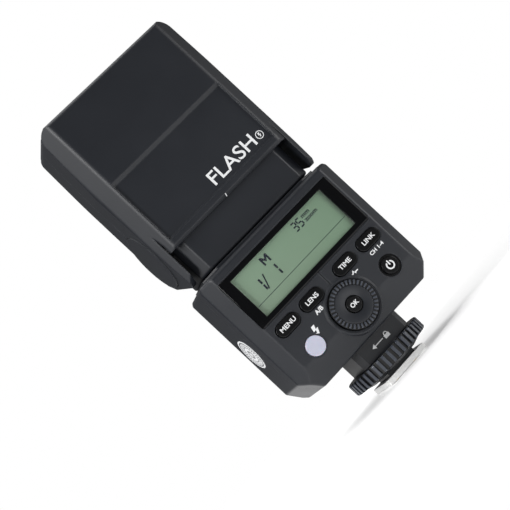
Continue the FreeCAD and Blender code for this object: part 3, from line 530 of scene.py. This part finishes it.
def brushed_metal(name, base, along, roughness):
    """Metal with fine streaks, stretched by along in x, y and z, and with edges painted lighter as a
    highlight.
    """
    made = Recipe(name, Metallic=1.0)
    streak = made.grain(made.place((0, 0, 0), tuple(60.0 * part for part in along)), 1.0, 4.0)
    cloud = made.grain(made.place(), 150.0, 3.0)
    edge_rub_and_highlight = made.edge_wear_and_highlight(0.2 * MM)
    tone = made.blend(cloud, shade(base, 0.82), colour(*base))
    # Painted highlight: the edges are lightened towards a pale grey.
    made.set(Base_Color=made.blend(edge_rub_and_highlight, tone, colour(0.9, 0.9, 0.88)),
             Roughness=roughness + (streak - 0.5) * 0.25 + (cloud - 0.5) * 0.1)
    made.bump(streak, 0.25, 0.006 * MM, made.rounded_edges(0.12 * MM))
    return made.material


def light_key(name):
    """Milky lavender-grey lamp key."""
    made = Recipe(name, IOR=1.47, Subsurface_Weight=0.15, Subsurface_Scale=0.5 * MM)
    middle = centre("test_button")
    cloud = made.grain(made.place(middle), 500.0, 3.0)
    made.set(Base_Color=made.blend(cloud, colour(0.44, 0.45, 0.55), colour(0.51, 0.52, 0.62)),
             Roughness=0.42 + (cloud - 0.5) * 0.1)
    made.bump(cloud, 0.2, 0.006 * MM, made.rounded_edges(0.25 * MM))
    return made.material


def foil_sticker(name):
    """Silver-white seal with printed rings and fine radial strokes between them."""
    made = Recipe(name, IOR=1.45)
    spot = centre("seal_sticker")
    _, across, up = made.split(made.place(spot, (1, 1000, 1000)))
    reach = (across * across + up * up) ** 0.5
    turn = made.node("ShaderNodeMath", {"operation": "ARCTAN2"}, {0: up, 1: across})
    outer = 1 - ((reach - 5.3).absolute() / 0.28).above(1.0)
    inner = 1 - ((reach - 3.3).absolute() / 0.18).above(1.0)
    middle_band = reach.above(3.7) * (1 - reach.above(4.8))
    strokes = (turn * 26.0).sine().above(0.2) * middle_band
    heart = (1 - reach.above(1.9)) * reach.above(0.9)
    ink = outer + inner + strokes * 0.8 + heart * 0.8
    fleck = made.grain(made.place(), 1500.0, 3.0)
    foil = made.blend(fleck, colour(0.82, 0.83, 0.84), colour(0.92, 0.93, 0.94))
    made.set(Base_Color=made.blend(ink, foil, colour(0.13, 0.13, 0.14)), Roughness=0.35 + fleck * 0.1,
             Metallic=0.12 - ink * 0.1)
    made.bump(fleck, 0.15, 0.004 * MM)
    return made.material


def dark_red_window(name):
    made = Recipe(name, IOR=1.49, Coat_Weight=0.5, Coat_Roughness=0.04)
    haze = made.grain(made.place(), 200.0, 2.0)
    made.set(Base_Color=made.blend(haze, colour(0.055, 0.003, 0.004), colour(0.09, 0.005, 0.006)),
             Roughness=0.09 + haze * 0.05)
    made.bump(haze, 0.1, 0.005 * MM, made.rounded_edges(0.2 * MM))
    return made.material


def plain_finish(name, first, second, roughness, metallic=0.0, scale=900.0, depth=0.006 * MM, **more):
    """A simple two-tone finish for small and inner pieces."""
    made = Recipe(name, Metallic=metallic, **more)
    fleck = made.grain(made.place(), scale, 3.0)
    made.set(Base_Color=made.blend(fleck, colour(*first), colour(*second)),
             Roughness=roughness + (fleck - 0.5) * 0.12)
    made.bump(fleck, 0.25, depth, made.rounded_edges(0.12 * MM))
    return made.material


CHARCOAL = (0.0120, 0.0138, 0.0180)
FINISHES = {}


def mix_finishes(shell, ink):
    """Makes every finish once, from the two colours that the user may change."""
    FINISHES.update(
        shell=moulded_plastic("charcoal moulding", shell, 0.42, edge=0.7 * MM),
        trim=moulded_plastic("polished trim", shell, 0.34, 6000.0, 0.004 * MM),
        satin=moulded_plastic("satin black moulding", shade(shell, 0.62)[:3], 0.38, 6000.0, 0.006 * MM),
        ring=moulded_plastic("lock ring moulding", shell, 0.30, 6000.0, 0.006 * MM, groove=ring_shade_and_highlight),
        gloss=glossy_black("polished black border", (0.0016, 0.0017, 0.0021), 0.12),
        key=glossy_black("satin key cap", (0.0020, 0.0021, 0.0024), 0.26),
        dial=moulded_plastic("dial moulding", shell, 0.34, 6000.0, 0.004 * MM, groove=dial_shade_and_highlight),
        ink=white_print("white print", ink),
        dim_ink=white_print("grey print", shade(ink, 0.70)[:3]),
        crystal=liquid_crystal("liquid crystal"),
        segments=segment_ink("screen segments"),
        cover=clear_cover("screen cover", 0.05, (0.25, 0.27, 0.26), 0.06),
        lens=clear_cover("ribbed lens", 0.38, (0.92, 0.94, 0.95), 0.12),
        wide=clear_cover("wide panel", 0.40, (0.88, 0.91, 0.93), 0.10),
        tube=clear_cover("lamp glass", 0.30, (0.93, 0.95, 0.97), 0.03),
        bright=plain_finish("bright shoe metal", (0.86, 0.86, 0.85), (0.95, 0.95, 0.94), 0.45, 0.35),
        steel=brushed_metal("small steel parts", (0.60, 0.60, 0.60), (20, 20, 1), 0.30),
        mirror=brushed_metal("polished reflector", (0.88, 0.88, 0.88), (1, 10, 10), 0.08),
        gold=plain_finish("gold contact", (0.72, 0.50, 0.17), (0.85, 0.64, 0.27), 0.25, 1.0),
        lamp_key=light_key("light test key"),
        foil=foil_sticker("seal foil"),
        red=dark_red_window("dark red window"),
        card=plain_finish("white card", (0.82, 0.82, 0.80), (0.90, 0.90, 0.88), 0.55),
        rubber=plain_finish("rubber cover", (0.010, 0.010, 0.011), (0.018, 0.018, 0.019), 0.62,
                            scale=3000.0),
        inner=plain_finish("inner black moulding", (0.012, 0.012, 0.013), (0.020, 0.020, 0.022), 0.55),
        board=plain_finish("board lacquer", (0.010, 0.075, 0.035), (0.016, 0.11, 0.05), 0.35),
        sleeve=plain_finish("cell sleeve", (0.03, 0.08, 0.20), (0.05, 0.11, 0.26), 0.30, 0.3),
        can=plain_finish("capacitor sleeve", (0.010, 0.012, 0.020), (0.016, 0.018, 0.030), 0.25),
        guide=plain_finish("frosted light guide", (0.70, 0.72, 0.70), (0.80, 0.82, 0.80), 0.45),
    )


NODE_FINISHES = {
    "shell": ("rear_shell", "front_shell", "battery_door", "neck_rear_shell", "neck_front_shell",
              "head_rear_shell", "head_front_shell", "ear_caps", "swivel_plate"),
    "satin": ("foot_block", "clamp_plate", "lens_bezel"),
    "ring": ("lock_ring",),
    "bright": ("shoe_plate",), "crystal": ("lcd_panel",), "guide": ("lcd_backlight",),
    "key": KEY_NAMES + ("power_button", "set_button"), "lamp_key": ("test_button",),
    "foil": ("seal_sticker",), "red": ("sensor_window",), "card": ("bounce_card",), "wide": ("wide_panel",),
    "rubber": ("port_cover",), "board": ("control_board",), "sleeve": ("battery_cells",),
    "can": ("main_capacitor",), "mirror": ("reflector",), "tube": ("flash_tube", "focus_lamp"),
    "inner": ("shoe_insulator", "battery_box", "dial_encoder", "swivel_shaft", "card_tray",
              "zoom_carriage"),
    "gold": ("contact_pin_1", "contact_pin_2", "contact_pin_3", "contact_pin_4"),
    "steel": ("foot_screws", "battery_contacts", "door_pin", "usb_port", "retaining_ring", "tilt_axles",
              "detent_spring", "lead_screw", "zoom_motor", "guide_rod", "lock_pin"),
}


# ---------------------------------------------------------------- pieces

def make_screen(proud):
    """Polished black border with a window in it, a clear pane, and a fine bead round the border."""
    low = SCREEN_LOW + Vector((-0.8 * MM, -proud, -0.4 * MM))
    high = SCREEN_HIGH + Vector((0.1 * MM, 0, 0.2 * MM))
    border = add_block("screen_border", low, high)
    round_off(border, 1.2 * MM, 5, 80)
    view_low = Vector((low.x + 4.1 * MM, low.y - MM, low.z + 2.3 * MM))
    view_high = Vector((high.x - 4.6 * MM, high.y + MM, high.z - 2.1 * MM))
    carve(border, add_block("window_cutter", view_low, view_high))
    round_off(border, 0.18 * MM, 2, 50)
    smooth(border)
    dress(border, "case", "screen_cover", FINISHES["gloss"], "lcd_window")
    pane_low = Vector((view_low.x, low.y + 0.15 * MM, view_low.z))
    pane = add_block("screen_pane", pane_low, (view_high.x, low.y + 0.6 * MM, view_high.z))
    round_off(pane, 0.03 * MM, 1)
    dress(pane, "case", "screen_cover", FINISHES["cover"])
    gap = 0.22 * MM
    rim = frame_bead("screen_rim", low.x - gap, high.x + gap, low.z - gap, high.z + gap, PANEL_Y,
                     1.4 * MM, 0.17 * MM)
    dress(rim, "case", "case_plastic", FINISHES["trim"])
    return view_low, view_high


LETTER_M = [(-1.6, -1.55), (-1.6, 1.55), (-0.85, 1.55), (0, 0.35), (0.85, 1.55), (1.6, 1.55), (1.6, -1.55),
            (0.9, -1.55), (0.9, 0.3), (0, -0.85), (-0.9, 0.3), (-0.9, -1.55)]
FIGURES = {"1": "bc", "3": "abcdg", "5": "acdfg"}


def figure(name, digit, spot, width, height, stroke):
    """The bars of one seven-segment figure, in millimetres round its middle."""
    across, up, cut = width / 2, height / 2, stroke * 0.35
    bars = {"a": (-across, up, across, up), "g": (-across, 0, across, 0), "d": (-across, -up, across, -up),
            "b": (across, 0, across, up), "c": (across, -up, across, 0), "f": (-across, 0, -across, up)}
    made = []
    for bar in FIGURES[digit]:
        left, low, right, high = bars[bar]
        if low == high:
            left, low, right, high = left + cut, low - stroke / 2, right - cut, low + stroke / 2
        else:
            left, low, right, high = left - stroke / 2, low + cut, left + stroke / 2, high - cut
        corners = [(left, low), (right, low), (right, high), (left, high)]
        made.append(flat_shape(f"{name}_{bar}", corners, spot))
    return made


def make_display(view_low, view_high):
    """Generic readings: exposure mode, full power, zoom in millimetres, and a divider line."""
    face = rear_face("lcd_panel") - 0.03 * MM
    width, height = view_high.x - view_low.x, view_high.z - view_low.z

    def at(across, up):
        return (view_low.x + across * width, face, view_low.z + up * height)

    marks = [
        flat_shape("mode_mark", LETTER_M, at(0.313, 0.815)),
        flat_shape("power_stroke", [(-1.2, -2.5), (-0.7, -2.5), (1.2, 2.5), (0.7, 2.5)], at(0.196, 0.50)),
        lettering("zoom_unit", "mm", 2.1 * MM, at(0.788, 0.88), 0.05 * MM, 1.15),
        lettering("zoom_word", "zoom", 2.1 * MM, at(0.815, 0.775), 0.05 * MM, 1.15),
    ]
    marks += figure("power_top", "1", at(0.140, 0.50), 2.0, 4.9, 0.72)
    marks += figure("power_low", "1", at(0.310, 0.498), 2.0, 4.5, 0.72)
    marks += figure("zoom_tens", "3", at(0.657, 0.827), 1.6, 3.0, 0.50)
    marks += figure("zoom_units", "5", at(0.710, 0.827), 1.6, 3.0, 0.50)
    display = joined("screen_segments", marks)
    dress(display, "case", "screen_glass", FINISHES["segments"])
    line_end = Vector(at(0.99, 0.257)) + Vector((0, 0.02 * MM, 0))
    line = add_block("screen_divider", at(0.01, 0.245), line_end)
    round_off(line, 0.005 * MM, 1)
    dress(line, "case", "screen_glass", FINISHES["segments"])


def make_key_marks():
    """Words printed on the four keys and on the set key."""
    for node, words in KEY_WORDS.items():
        spot = in_front(node, rear_face(node))
        mark = lettering(f"{node}_mark", words, 2.2 * MM, spot, 0.04 * MM, 1.12)
        dress(mark, node, "key_rubber", FINISHES["ink"])
    spot = in_front("set_button", rear_face("set_button"))
    mark = lettering("set_button_mark", "OK", 2.1 * MM, spot, 0.06 * MM)
    dress(mark, "set_button", "key_rubber", FINISHES["ink"])


def make_power_mark():
    """Standard standby symbol: an open ring with a stroke through its gap."""
    spot = in_front("power_button", rear_face("power_button"))
    ring = bead("power_ring", 1.3 * MM, 0, spot, 0.26 * MM)
    gap = add_block("power_gap", (spot.x - 0.62 * MM, spot.y - MM, spot.z + 0.3 * MM),
                    (spot.x + 0.62 * MM, spot.y + MM, spot.z + 2 * MM))
    carve(ring, gap)
    stroke = add_block("power_stroke_bar", (spot.x - 0.24 * MM, spot.y - 0.05 * MM, spot.z + 0.1 * MM),
                       (spot.x + 0.24 * MM, spot.y + 0.05 * MM, spot.z + 1.85 * MM))
    flatten(ring, spot.y, 0.25)
    dress(joined("power_mark", [ring, stroke]), "power_button", "key_rubber", FINISHES["ink"])


BOLT = [(0.1, -1.5), (1.0, 0.25), (0.2, 0.15), (0.75, 1.5), (-0.45, 1.5), (-0.85, -0.1), (0.0, -0.05),
        (-0.25, -0.8), (-0.75, -0.75)]
PULSE = [(-1.7, -0.3), (-0.4, -0.3), (0.1, 0.35), (0.4, -0.75), (0.8, -0.3), (1.8, -0.3), (1.8, 0.1),
         (0.65, 0.1), (0.45, -0.1), (0.15, 0.95), (-0.55, 0.1), (-1.7, 0.1)]


def make_panel_prints():
    """Small symbols printed on the panel, beside the test key and under the pill keys."""
    test = centre("test_button")
    bolt_spot = (test.x + 3.9 * MM, PANEL_Y, test.z + 3.4 * MM)

    def under(node, shift=0.0):
        """Where the small print under a pill key goes."""
        return (centre(node).x + shift, PANEL_Y, 34.1 * MM)

    marks = [
        flat_shape("test_bolt", [(x * 1.15, y * 1.12) for x, y in BOLT], bolt_spot),
        lettering("lens_mark", "A/B", 2.1 * MM, under("zoom_button", -0.9 * MM), 0.07 * MM),
        lettering("link_mark", "CH 1-4", 1.8 * MM, under("link_button", -0.1 * MM), 0.05 * MM, 1.12),
        flat_shape("pulse_mark", PULSE, under("sync_button")),
    ]
    dress(joined("panel_prints", marks), "case", "case_plastic", FINISHES["ink"])


def make_key_rims():
    """Fine raised rims round the key openings, which catch the light, and the power key's well."""
    pill = 2.4 * MM
    edge = PANEL_Y + 0.06 * MM
    first = in_front(KEY_NAMES[0], edge)
    rims = [bead("key_rim", pill + 0.42 * MM, pill, first, 0.14 * MM)]
    for node in KEY_NAMES[1:]:
        rims.append(copy_of(rims[0], f"{node}_rim", in_front(node, edge) - first))
    rims.append(bead("power_rim", 4.0 * MM, 0, in_front("power_button", edge), 0.13 * MM))
    rims.append(bead("test_rim", 3.75 * MM, 0, in_front("test_button", edge), 0.10 * MM))
    dress(joined("key_rims", rims), "case", "case_plastic", FINISHES["trim"])
    spot = in_front("power_button", PANEL_Y + 0.4 * MM)
    well = add_disc("power_well", 3.85 * MM, 0.2 * MM, spot)
    carve(well, add_disc("power_well_cutter", 3.12 * MM, MM, spot))
    dress(well, "case", "case_plastic", FINISHES["key"])


def make_dial(teeth):
    """Select dial with a toothed collar, a smooth raised disc and a well for the set key."""
    low, high = (Vector(corner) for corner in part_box("select_dial"))
    middle = centre("select_dial")
    radius = (high.x - low.x) / 2
    face = DIAL_FACE
    back = face + 1.9 * MM
    sides = teeth * 4
    dial = add_disc("dial_knob", radius, back - face, (middle.x, (face + back) / 2, middle.z), sides)

    def reach(point):
        return math.hypot(point.x - middle.x, point.z - middle.z)

    lip, collar, groove, shoulder, well = 0.12 * MM, 1.55 * MM, 0.25 * MM, 0.2 * MM, 3.05 * MM
    pick_faces(dial, lambda point, normal: normal.y < -0.9)
    for width in (lip, collar, groove):
        bpy.ops.mesh.inset(thickness=width)
    bpy.ops.mesh.extrude_region_move(TRANSFORM_OT_translate={"value": (0, -0.35 * MM, 0)})
    bpy.ops.mesh.inset(thickness=shoulder)
    bpy.ops.mesh.inset(thickness=radius - lip - collar - shoulder - groove - well)
    bpy.ops.mesh.extrude_region_move(TRANSFORM_OT_translate={"value": (0, 1.6 * MM, 0)})
    leave_edit()

    def is_tooth(point, normal):
        if normal.y > -0.9 or not radius - 1.6 * MM < reach(point) < radius - 0.2 * MM:
            return False
        turn = math.atan2(point.z - middle.z, point.x - middle.x) % (2 * math.pi)
        return int(turn / (2 * math.pi) * sides) % 4 < 2

    pick_faces(dial, is_tooth)
    bpy.ops.mesh.extrude_region_move(TRANSFORM_OT_translate={"value": (0, -0.45 * MM, 0)})
    leave_edit()
    round_off(dial, 0.09 * MM, 2, 40)
    smooth(dial)
    dress(dial, "select_dial", "dial_plastic", FINISHES["dial"], "select_dial")
    rim_spot = (middle.x, PANEL_Y - 0.22 * MM, middle.z)
    rim = bead("dial_boss_rim", 9.35 * MM, 0, rim_spot, 0.22 * MM, sides=96)
    dress(rim, "case", "case_plastic", FINISHES["trim"])


def make_head_mark():
    """A plain generic word and a ringed bolt, printed low on the head's back, and the tilt index."""
    rear = rear_face("head_rear_shell")
    face = rear + 0.9 * MM
    badge = (22.2 * MM, face, 88.3 * MM)
    word = lettering("word", "FLASH", 6.9 * MM, (9.3 * MM, face, 88.7 * MM), 0.06 * MM, 1.12)
    ring = bead("ring", 1.35 * MM, 0, badge, 0.14 * MM)
    flatten(ring, face, 0.3)
    bolt = flat_shape("bolt", [(x * 0.55, y * 0.55) for x, y in BOLT], badge)
    dress(joined("head_mark", [word, ring, bolt]), "head", "head_plastic", FINISHES["ink"])
    tick = add_block("tilt_index", (-0.16 * MM, -0.03 * MM, -0.7 * MM), (0.16 * MM, 0.03 * MM, 0.7 * MM))
    tick.rotation_euler.x = math.radians(45)
    tick.location = (-1.1 * MM, rear + 0.48 * MM, 82.08 * MM)
    dress(round_off(settle(tick), 0.01 * MM, 1), "head", "head_plastic", FINISHES["ink"])


ARROW = [(-0.9, 0), (0.5, -0.9), (0.5, -0.16), (4.2, -0.16), (4.2, 0.16), (0.5, 0.16), (0.5, 0.9)]
LOCK_CASE = [(-1.1, -1.0), (1.1, -1.0), (1.1, 0.3), (-1.1, 0.3)]


def make_foot_marks():
    """An arrow and a padlock on the back of the foot."""
    face = rear_face("foot_block")
    height = 12.6 * MM
    left = -3.6 * MM
    arrow = flat_shape("arrow", ARROW, (left, face, height))
    middle = left + 6.0 * MM
    lock = flat_shape("lock_case", LOCK_CASE, (middle, face, height))
    shackle = bead("shackle", 0.66 * MM, 0, (middle, face, height + 0.45 * MM), 0.16 * MM, sides=24)
    dress(joined("foot_marks", [arrow, lock, shackle]), "case", "foot_plastic", FINISHES["dim_ink"])


def make_lens(ridges):
    """Clear lens with fine parallel ridges across its face."""
    low, high = (Vector(corner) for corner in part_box("fresnel_lens"))
    low += Vector((1.4 * MM, 0.6 * MM, 0))
    high -= Vector((1.4 * MM, 0.8 * MM, 0))
    deselect()
    spot = ((low.x + high.x) / 2, (low.y + high.y) / 2, high.z - 0.4 * MM)
    bpy.ops.mesh.primitive_grid_add(x_subdivisions=2, y_subdivisions=ridges * 2, size=1, location=spot)
    lens = bpy.context.object
    lens.scale = (high.x - low.x, high.y - low.y, 1)
    settle(lens, "ribbed_lens")
    pitch = (high.y - low.y) / (ridges * 2)

    def on_ridge(index, point):
        return round((point.y - low.y) / pitch) % 2 == 1

    slide_points(lens, on_ridge, (0, 0, 0.38 * MM))
    modify(lens, "SOLIDIFY", thickness=1.6 * MM, offset=-1)
    dress(lens, "head", "lens_clear", FINISHES["lens"], "fresnel_lens")


SCREW_PLACES = {  # body, and the x and z of each screw in millimetres
    "case_screws": ("case", [(-20, 27), (-20, 60), (20, 27), (20, 60)]),
    "head_screws": ("head", [(-20, 105.5), (20, 105.5)]),
}


def make_screws():
    """Cross-recess heads for the case and head screws, copied from one head."""
    first = add_disc("screw_head", 1.6 * MM, 1.0 * MM, (0, -0.5 * MM, 0), 40)
    round_off(first, 0.3 * MM, 3, 60)
    long, narrow = 0.95 * MM, 0.2 * MM
    for wide, tall in ((long, narrow), (narrow, long)):
        carve(first, add_block("slot", (-wide, -0.5 * MM, -tall), (wide, MM, tall)))
    smooth(first)
    for node, (body, spots) in SCREW_PLACES.items():
        front = Vector(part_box(node)[1]).y
        heads = [copy_of(first, f"{node}_head", (x * MM, front, z * MM)) for x, z in spots]
        dress(joined(f"{body}_screw_heads", heads), body, "bright_steel", FINISHES["steel"], node)
    bpy.data.objects.remove(first, do_unlink=True)


def make_door_marks():
    """Arrow printed on the battery door, below its grip ribs."""
    face = Vector(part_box("front_shell")[1]).x
    corners = [(-1.6, -0.9), (1.6, -0.9), (0, 1.2)]
    arrow = flat_shape("door_arrow", corners, (face, 0.5 * MM, 33.0 * MM), "right", 0.12 * MM)
    dress(arrow, "battery_door", "case_plastic", FINISHES["dim_ink"])


# ---------------------------------------------------------------- stage

FLOOR_LEVEL = -0.45 * MM
LIGHTS = {  # watts, width, height, place, and the point it faces, in metres
    "top_softbox": (5.0, 0.8, 0.8, (-0.10, 0.10, 0.75), (0, 0, 0)),
    "left_strip": (3.4, 0.12, 0.45, (-0.50, -0.32, 0.32), (0, 0, 0.12)),
    "right_low_strip": (1.15, 0.40, 0.25, (0.52, -0.20, 0.09), (0, 0, 0.02)),
    "front_board": (0.22, 0.30, 0.12, (0.05, -0.17, 0.002), (0.05, -0.17, 1.0)),
}


def make_floor(reach):
    """A pale floor that fades into the equally pale surroundings."""
    deselect()
    bpy.ops.mesh.primitive_circle_add(vertices=96, radius=reach, fill_type="NGON",
                                      location=(0, 0, FLOOR_LEVEL))
    floor = settle(bpy.context.object, "floor")
    made = Recipe("pale floor", Roughness=0.7)
    across, along, _ = made.split(made.place())
    far = (across * across + along * along) ** 0.5 / reach
    fade = made.node("ShaderNodeMapRange", {"interpolation_type": "SMOOTHSTEP"},
                     {"Value": far, "From Min": 0.10, "From Max": 0.60, "To Min": 1.0, "To Max": 0.0})
    fleck = made.grain(made.place(), 400.0, 2.0)
    made.set(Base_Color=made.blend(fleck, colour(0.90, 0.90, 0.90), colour(0.93, 0.93, 0.93)),
             Alpha=fade, Emission_Color=colour(1, 1, 1), Emission_Strength=0.30)
    floor.data.materials.append(made.material)


def make_surroundings(ambient):
    """White surroundings that light the flash only softly."""
    world = bpy.data.worlds.new("studio")
    made = Graph(world, "Background")
    seen = made.node("ShaderNodeLightPath", {}, {}, "Is Camera Ray")
    strength = made.node("ShaderNodeMapRange", {}, {"Value": seen, "To Min": ambient, "To Max": 1.0})
    made.set(Color=colour(1, 1, 1), Strength=strength)
    bpy.context.scene.world = world


def add_light(name, power, width, height, spot, target):
    deselect()
    bpy.ops.object.light_add(type="AREA", location=spot)
    lamp = bpy.context.object
    lamp.name = name
    lamp.data.shape = "RECTANGLE"
    lamp.data.size = width
    lamp.data.size_y = height
    lamp.data.energy = power
    aim = Vector(target) - Vector(spot)
    lamp.rotation_mode = "QUATERNION"
    lamp.rotation_quaternion = aim.to_track_quat("-Z", "Y")


def make_camera(azimuth, elevation, roll, distance, lens, target):
    """A camera turned on its own axis, so that the flash lies slantwise across the frame."""
    back = Vector((math.sin(azimuth) * math.cos(elevation), -math.cos(azimuth) * math.cos(elevation),
                   math.sin(elevation)))
    data = bpy.data.cameras.new("camera")
    camera = bpy.data.objects.new("camera", data)
    bpy.context.collection.objects.link(camera)
    data.lens = lens
    data.clip_start = 0.01
    data.clip_end = 20
    camera.location = Vector(target) + back * distance
    upright = (-back).to_track_quat("-Z", "Y").to_matrix()
    camera.rotation_euler = (upright @ Matrix.Rotation(roll, 3, "Z")).to_euler()
    bpy.context.scene.camera = camera


# ---------------------------------------------------------------- add-on

class FlashSettings(bpy.types.PropertyGroup):
    """Sizes and colours of the flash's finish"""
    shell_colour: bpy.props.FloatVectorProperty(
        name="Shell colour", description="Base colour of the charcoal mouldings", subtype="COLOR", size=3,
        default=CHARCOAL, min=0, max=1)
    ink_colour: bpy.props.FloatVectorProperty(
        name="Print colour", description="Colour of the printed marks", subtype="COLOR", size=3,
        default=(0.80, 0.81, 0.82), min=0, max=1)
    border_proud: bpy.props.FloatProperty(
        name="Border height", description="How far the screen border stands above its CAD face",
        default=0.0, unit="LENGTH")
    dial_teeth: bpy.props.IntProperty(
        name="Dial teeth", description="Teeth round the dial's collar", default=36)
    lens_ridges: bpy.props.IntProperty(
        name="Lens ridges", description="Parallel ridges on the lens", default=28)


class StageSettings(bpy.types.PropertyGroup):
    """Camera and light of the stage"""
    azimuth: bpy.props.FloatProperty(
        name="Azimuth", description="Camera turn about Z", subtype="ANGLE", default=math.radians(-15.8))
    elevation: bpy.props.FloatProperty(
        name="Elevation", description="Camera height angle", subtype="ANGLE", default=math.radians(-3.05))
    roll: bpy.props.FloatProperty(
        name="Roll", description="Camera turn about its own axis", subtype="ANGLE",
        default=math.radians(-46.96))
    distance: bpy.props.FloatProperty(
        name="Distance", description="Camera to target", default=0.4695, unit="LENGTH")
    lens: bpy.props.FloatProperty(
        name="Lens", description="Focal length in millimetres", default=98.8, unit="CAMERA")
    target: bpy.props.FloatVectorProperty(
        name="Target", description="Point in the middle of the picture", subtype="TRANSLATION", size=3,
        default=(-0.0055, -0.0002, 0.0623))
    ambient: bpy.props.FloatProperty(
        name="Ambient", description="Strength of the all-round light", default=0.15)
    floor_reach: bpy.props.FloatProperty(
        name="Floor radius", description="Radius of the floor", default=0.5, unit="LENGTH")


class FLASH_OT_finishes(bpy.types.Operator):
    """Make the finishes and give them to the frame's own parts"""
    bl_idname = "flash.finishes"
    bl_label = "Finishes"

    def execute(self, context):
        settings = context.scene.flash
        mix_finishes(tuple(settings.shell_colour), tuple(settings.ink_colour))
        for finish, nodes in NODE_FINISHES.items():
            for node in nodes:
                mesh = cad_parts[node].data
                mesh.materials.clear()
                mesh.materials.append(FINISHES[finish])
        return {"FINISHED"}


class FLASH_OT_screen(bpy.types.Operator):
    """Model the screen's border, pane and readings"""
    bl_idname = "flash.screen"
    bl_label = "Screen"

    def execute(self, context):
        make_display(*make_screen(context.scene.flash.border_proud))
        return {"FINISHED"}


class FLASH_OT_keys(bpy.types.Operator):
    """Print the key marks and model the rims round the keys"""
    bl_idname = "flash.keys"
    bl_label = "Keys"

    def execute(self, context):
        make_key_marks()
        make_power_mark()
        make_key_rims()
        make_panel_prints()
        return {"FINISHED"}


class FLASH_OT_dial(bpy.types.Operator):
    """Model the toothed select dial"""
    bl_idname = "flash.dial"
    bl_label = "Select dial"

    def execute(self, context):
        make_dial(context.scene.flash.dial_teeth)
        return {"FINISHED"}


class FLASH_OT_marks(bpy.types.Operator):
    """Print the marks on the head, foot and battery door"""
    bl_idname = "flash.marks"
    bl_label = "Marks"

    def execute(self, context):
        make_head_mark()
        make_foot_marks()
        make_door_marks()
        return {"FINISHED"}


class FLASH_OT_lens(bpy.types.Operator):
    """Model the ribbed lens"""
    bl_idname = "flash.lens"
    bl_label = "Lens"

    def execute(self, context):
        make_lens(context.scene.flash.lens_ridges)
        return {"FINISHED"}


class FLASH_OT_screws(bpy.types.Operator):
    """Model the cross-recess screw heads"""
    bl_idname = "flash.screws"
    bl_label = "Screws"

    def execute(self, context):
        make_screws()
        return {"FINISHED"}


class FLASH_OT_stage(bpy.types.Operator):
    """Set up the floor, the lights and the camera"""
    bl_idname = "flash.stage"
    bl_label = "Stage"

    def execute(self, context):
        stage = context.scene.flash_stage
        make_floor(stage.floor_reach)
        make_surroundings(stage.ambient)
        context.scene.view_settings.view_transform = "Standard"
        for name, values in LIGHTS.items():
            add_light(name, *values)
        make_camera(stage.azimuth, stage.elevation, stage.roll, stage.distance, stage.lens, stage.target)
        return {"FINISHED"}


class FLASH_PT_panel(bpy.types.Panel):
    """Steps that dress the flash"""
    bl_idname = "FLASH_PT_panel"
    bl_label = "Flash"
    bl_space_type = "VIEW_3D"
    bl_region_type = "UI"
    bl_category = "Flash"

    def draw(self, context):
        for name in FlashSettings.__annotations__:
            self.layout.prop(context.scene.flash, name)
        for name in StageSettings.__annotations__:
            self.layout.prop(context.scene.flash_stage, name)
        for step in STEPS:
            self.layout.operator(step.bl_idname)


STEPS = (FLASH_OT_finishes, FLASH_OT_screen, FLASH_OT_keys, FLASH_OT_dial, FLASH_OT_marks, FLASH_OT_lens,
         FLASH_OT_screws, FLASH_OT_stage)
CLASSES = (FlashSettings, StageSettings) + STEPS + (FLASH_PT_panel,)


def register():
    for item in CLASSES:
        bpy.utils.register_class(item)
    bpy.types.Scene.flash = bpy.props.PointerProperty(type=FlashSettings)
    bpy.types.Scene.flash_stage = bpy.props.PointerProperty(type=StageSettings)


def unregister():
    del bpy.types.Scene.flash
    del bpy.types.Scene.flash_stage
    for item in reversed(CLASSES):
        bpy.utils.unregister_class(item)


def main():
    register()
    deselect()
    bpy.ops.flash.finishes()
    bpy.ops.flash.screen()
    bpy.ops.flash.keys()
    bpy.ops.flash.dial()
    bpy.ops.flash.marks()
    bpy.ops.flash.lens()
    bpy.ops.flash.screws()
    bpy.ops.flash.stage()


if __name__ == "__main__":
    main()
